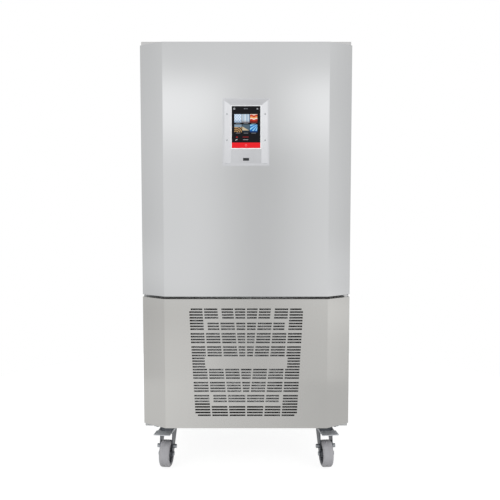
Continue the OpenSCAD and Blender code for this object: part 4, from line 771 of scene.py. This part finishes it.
def lacquer(name, colour, rough, shine):
    """Silver lacquer on a moulding: metal flake that glints a little, drawn 1 mm across so that it shows.

    The flake is noise that shifts the tone and the normal; a cloud, noise 56 mm across, shifts the gloss.
    shine is how much of the light the flakes mirror; the rest is scattered by the pigment.
    """
    made, tree, place = bare_material(name)
    flake = node(tree, "TexNoise", {"Vector": place, "Scale": 950.0, "Detail": 2.0})
    cloud = node(tree, "TexNoise", {"Vector": place, "Scale": 18.0, "Detail": 3.0})
    tone = node(tree, "MapRange", {0: flake, 1: 0.3, 2: 0.7, 3: 0.97, 4: 1.03})
    gloss = node(tree, "MapRange", {0: cloud, 1: 0.3, 2: 0.7, 3: rough - 0.02, 4: rough + 0.02})
    skin = node(tree, "Bump", {"Height": flake, "Strength": 0.02, "Distance": 0.0002})
    return shaded(made, tree, colour, tone, gloss, skin, Metallic=shine)


bezel_silver = lacquer("bezel_silver_lacquer", "#E1E2E5", 0.14, 0.95)
softened("bezel_moulding", "control_bezel", 0.0006, bezel_silver, "door", "bezel_silver")

# the border's inner part is three mitred facets, which fall 1.6 mm from the rim's slope to the lip
foot, rim_top, lip_top = BEZEL_MIDDLE - 0.113, BEZEL_MIDDLE + 0.11556, SCREEN_TOP + 0.0039
rim_half, lip_half = 0.07906, SCREEN_HALF + 0.0039
facets = np.array([[(hand * rim_half, LIP_Y + 0.0006, rim_z), (hand * rim_half, LIP_Y - 0.0016, rim_z),
                    (hand * lip_half, LIP_Y - 0.00005, lip_z), (hand * lip_half, LIP_Y + 0.0006, lip_z)]
                   for hand, rim_z, lip_z in ((-1, foot, foot), (-1, rim_top, lip_top),
                                              (1, rim_top, lip_top), (1, foot, foot))])
facets = np.concatenate([facets[:1].mean(1, keepdims=True).repeat(4, 1), facets,
                         facets[-1:].mean(1, keepdims=True).repeat(4, 1)])
fit(pieced("bezel_facets", [(facets, False, True)], sharp=2), bezel_silver, "door", "bezel_silver")

lip = [(0.0002, LIP_Y + 0.0005), (0.0002, LIP_Y - 0.0013), (0.0030, LIP_Y - 0.0030), (0.0034, LIP_Y - 0.0029),
       (0.0040, LIP_Y + 0.0005)]
bright_lip = lacquer("lip_bright_silver", "#F4F5F6", 0.24, 0.2)
fit(pieced("screen_lip", [framed(lip, SCREEN_HALF, SCREEN_FOOT, SCREEN_TOP)]), bright_lip, "door",
    "bezel_silver")
glass = moulded("screen_black_glass", "#08090A", 0.12, bump=0.0)
softened("screen_pane", "touch_screen", 0.0004, glass, "door", "screen_glass")

# The picture on the display: a dark page with six abstract tiles, status marks and a red key along its foot.
# It is worked out point by point on a 0.75 mm grid and kept as a colour on each corner of the sheet.

COLS, ROWS = 141, 204
PAGE_HALF, PAGE_TOP, PAGE_FOOT = 52.2, 0.3, 151.7
TILE_WIDE, TILE_GAP, TILES_LEFT = 26.7, 2.0, -42.6
KEY_TOP = 132
u, v = np.meshgrid(np.linspace(-PAGE_HALF, PAGE_HALF, COLS), np.linspace(PAGE_TOP, PAGE_FOOT, ROWS),
                   indexing="ij")
page = np.empty((COLS, ROWS, 3))


def paint(where, code, amount=1.0):
    """Mixes a colour into the page where the mask is true; amount may be an array."""
    share = np.asarray(where, float)[..., None] * (amount if np.isscalar(amount) else amount[..., None])
    page[...] = page * (1 - share) + np.array(linear(code)[:3]) * share


def within(u0, u1, v0, v1):
    """True inside a rectangle of the page, in millimetres from its middle and its top."""
    return (u > u0) & (u < u1) & (v > v0) & (v < v1)


page[...] = np.array(linear("#0B0B0D")[:3])
# status marks: a ring, two short bars and a wedge
ring = np.hypot(u + 43, v - 9.5)
paint((ring > 1.7) & (ring < 3.3), "#C9CCD0")
paint(within(-8, -1.5, 8.4, 10.4) | within(1.0, 5.5, 8.4, 10.4), "#8E9297")
paint((np.abs(u - 41.5) < (v - 7.0) * 0.9) & (v > 7) & (v < 11.2), "#C9CCD0")
# two rows of tiles, each with a pale bar below; a and b run over a tile from its left top corner
for row, (top, tall) in enumerate(((29.0, 30.7), (66.2, 28.6))):
    for place in range(3):
        left = TILES_LEFT + place * (TILE_WIDE + TILE_GAP)
        a, b = (u - left) / TILE_WIDE, (v - top) / tall
        tile = (a > 0) & (a < 1) & (b > 0) & (b < 1)
        net = np.abs(np.sin(9 * (a + b))) * np.abs(np.sin(9 * (a - b)))
        wave = b + 0.05 * np.sin(a * 9)
        rings = np.sin(26 * np.hypot(a - 0.2, (b - 1.1) * 1.1))
        rays = np.sin(20 * np.arctan2(b + 0.15, a - 1.2))
        # a net, stripes, waves, rings, a slope and rays; each layer is a mask, a colour and its amount
        layers = (
            ((tile, "#A9C8E6", 1), (tile, "#F4FAFF", np.clip(1.4 - 3.2 * net, 0, 1)),
             (tile, "#3D5F86", np.clip((b - 0.62) * 1.6, 0, 0.7))),
            ((tile, "#7FA6C4", 1), (np.sin(a * 31) > 0.1, "#E9EFF3", 1),
             (tile, "#5B2E25", np.clip((b - 0.7) * 2.4, 0, 0.8))),
            ((tile, "#C8361F", 1), ((wave > 0.30) & (wave < 0.48), "#F2A15C", 1),
             ((wave > 0.48) & (wave < 0.60), "#FBEDE2", 1), (wave > 0.78, "#7C1C14", 1),
             (wave < 0.10, "#F6D9C8", 1)),
            ((tile, "#2A2622", 1), ((rings > 0.2) & (b > 0.35), "#C99C63", 1), (b < 0.35, "#9BB3C6", 0.75)),
            ((tile, "#4F6472", 1), (b > 0.25 + 0.55 * a, "#D8C7A4", 0.8), (b > 0.75, "#1F2A33", 1)),
            ((tile, "#1E74C6", 1), (rays > 0.1, "#9FDCF7", 0.85), (b > 0.8, "#0C3B74", 1)))
        for mask, code, amount in layers[3 * row + place]:
            paint(tile & mask, code, amount)
        paint(within(left + 5, left + TILE_WIDE - 5, top + tall + 2.2, top + tall + 3.9), "#9A9EA3", 0.8)
# below the tiles: two red bars, a slanted stroke and a grey bar, and the red key with a ring on it
paint(within(-37, -30.5, 111.0, 113.0), "#D92A2A")
paint(within(-12, 9, 111.0, 112.6), "#D92A2A", 0.75)
paint((np.abs(v - 122 + 0.5 * (u + 36)) < 1.1) & (u > -39) & (u < -32), "#DADDE0")
paint(within(-11, 8, 120.6, 122.4), "#C2C5C9", 0.85)
paint(v > KEY_TOP, "#EE1C25")
mark = np.hypot(u, v - 142)
paint((mark > 2.6) & (mark < 3.8) & (v > KEY_TOP), "#FF8086")

# the sheet lies 0.1 mm before the glass; each of its corners takes the colour of its point on the page
spots = np.stack([u / 1000, np.full_like(u, SCREEN_FRONT - 0.0001), SCREEN_TOP - v / 1000], -1)
picture = pieced("display_picture", [(spots, False, False)])
corner = np.empty(len(picture.data.vertices) * 3)
picture.data.vertices.foreach_get("co", corner)
corner = corner.reshape(-1, 3)
down = (SCREEN_TOP - corner[:, 2]) * 1000 - PAGE_TOP
i = np.rint((corner[:, 0] * 1000 + PAGE_HALF) / (2 * PAGE_HALF) * (COLS - 1)).astype(int)
j = np.rint(down / (PAGE_FOOT - PAGE_TOP) * (ROWS - 1)).astype(int)
tint = picture.data.color_attributes.new("page", "FLOAT_COLOR", "POINT")
tint.data.foreach_set("color", np.column_stack([page[i, j], np.ones(len(i))]).ravel())
if picture.data.polygons[0].normal.y > 0:
    picture.data.flip_normals()


def lit_display(name):
    """A liquid crystal display behind glass: the page's colours shine, and finger smears shift the gloss.

    The display's dots, too fine to show, are drawn coarser: a Voronoi pattern of cells 0.9 mm across that
    takes up to 6 percent of the light. The smears are noise 25 mm across.
    """
    made, tree, place = bare_material(name)
    colour = node(tree, "VertexColor", layer_name="page")
    dots = node(tree, "TexVoronoi", {"Vector": place, "Scale": 1100.0})
    shine = node(tree, "MapRange", {0: dots, 2: 0.8, 3: 1.0, 4: 0.94})
    glowing = node(tree, "HueSaturation", {"Value": shine, "Color": colour.outputs["Color"]})
    smear = node(tree, "TexNoise", {"Vector": place, "Scale": 40.0, "Detail": 3.0})
    gloss = node(tree, "MapRange", {0: smear, 1: 0.3, 2: 0.7, 3: 0.10, 4: 0.20})
    face = node(tree, "BsdfPrincipled", {
        "Base Color": linear("#0D0D10"), "Roughness": gloss, "Specular IOR Level": 0.12,
        "Emission Color": glowing, "Emission Strength": 1.0})
    node(tree, "OutputMaterial", {0: face})
    return made


fit(picture, lit_display("lit_display"), "door", "screen_glass")

# the board is glass fibre with a green solder mask, as even and satin as powder coat
board_green = powder_coat("board_green", "#1F5A3A")
softened("circuit_board", "control_board", 0.0005, board_green, "door", "board")

# domed screws with a round recess, sunk in the moulding
low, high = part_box("bezel_screws")
dome = [(0, 0), (0.0004, 0.0006), (0.0004, 0.0009), (-0.0004, 0.0011), (-0.0003, 0.0018), (0.0002, 0.0026),
        (0.0009, 0.0030), (0.0018, 0.0030), (0.0018, 0.0015), (0.0100, 0.0015), (0.0100, 0)]
screws = [revolved(dome, (x, LIP_Y - 0.0020, z), (0, 1, 0), 24)
          for x in (-0.070, 0.070) for z in (low[2] + 0.003, high[2] - 0.003)]
fit(pieced("panel_screws", screws), chrome, "door", "zinc", "bezel_screws")
softened("port_flap", "port_cover", 0.0005, black_nylon, "port_cover", "black_plastic")

# ---- Service panel: folded stainless over the machine bay, with rows of punched slots ----
# It is cut and folded from one sheet with the door's chamfers; its slots leave slanted ribs.

panel_steel = brushed_steel("panel_steel_ground", "#D3D2CF", 0.14, 0.014, 0.015)
softened("slotted_panel", "service_panel", 0.0003, panel_steel, "service_panel", "cabinet_steel")

# ---- Casters: pressed forks, nylon wheels with grey rubber tyres, and brake pedals in front ----
# The forks are zinc plated; the tyre is moulded on the rim, with a parting line round its middle.

LEG_OUTSIDE = 0.0285

# the forks' zinc is drawn nearly black as painted shade, for the shade under the cabinet
fork_zinc_painted_shade = plated("fork_zinc_painted_shade", "#5C5F64", 0.34)
pedal_zinc = plated("pedal_zinc", "#D3D6DA", 0.4, 0.45)
core_plastic = moulded("wheel_core_nylon", "#606267", 0.5)
tyre_rubber = moulded("grey_tyre_rubber", "#A9A8AB", 0.62)
# half of each section, as (distance along the axle, radius); the other half mirrors it
core_half = [(-0.0217, 0.00505), (-0.0217, 0.013), (-0.0205, 0.014), (-0.006, 0.014), (-0.005, 0.016),
             (-0.005, 0.033), (-0.007, 0.0348), (-0.016, 0.0352), (-0.017, 0.036), (-0.017, 0.040)]
core_section = core_half + [(-d, r) for d, r in core_half[::-1]] + core_half[:1]
shoulder = [(0.012 + 0.008 * math.sin(a), 0.044 + 0.008 * math.cos(a))
            for a in np.linspace(0, np.pi / 2, 9)[:-1]]
tyre_half = [(0.0006, 0.0517), (0.0012, 0.052)] + shoulder + [(0.0195, 0.0412), (0.020, 0.0401)]
tyre_section = [(-d, r) for d, r in tyre_half[::-1]] + tyre_half + [(-0.020, 0.0401)]
joints = frame["record"]["behaviour"]["joints"]
axes = {j["child"]: (np.array(j["pos_m"]), np.array(j["axis"])) for j in joints}
for spot in ("front_left", "front_right", "rear_left", "rear_right"):
    legs = softened("legs_" + spot, "fork_" + spot, 0.0007, fork_zinc_painted_shade, "caster_" + spot, "zinc")
    middle, axle = axes["wheel_" + spot]
    # the legs' dark zinc is painted shade; the nuts and bosses outside them keep the plain bright plating
    legs.data.materials.append(zinc)
    centres = np.empty(len(legs.data.polygons) * 3)
    legs.data.polygons.foreach_get("center", centres)
    bosses_unshaded = np.abs((centres.reshape(-1, 3) - middle) @ axle) > LEG_OUTSIDE
    legs.data.polygons.foreach_set("material_index", bosses_unshaded.astype(np.int32))
    fit(pieced("wheel_core_" + spot, [revolved(core_section, middle, axle, 72)]), core_plastic,
        "wheel_" + spot, "wheel_core", "hub_" + spot)
    fit(pieced("moulded_tyre_" + spot, [revolved(tyre_section, middle, axle, 96)]), tyre_rubber,
        "wheel_" + spot, "tyre", "tyre_" + spot)
for hand in ("left", "right"):
    softened("pedal_" + hand, "brake_pedal_" + hand, 0.0009, pedal_zinc, "brake_pedal_" + hand, "zinc")
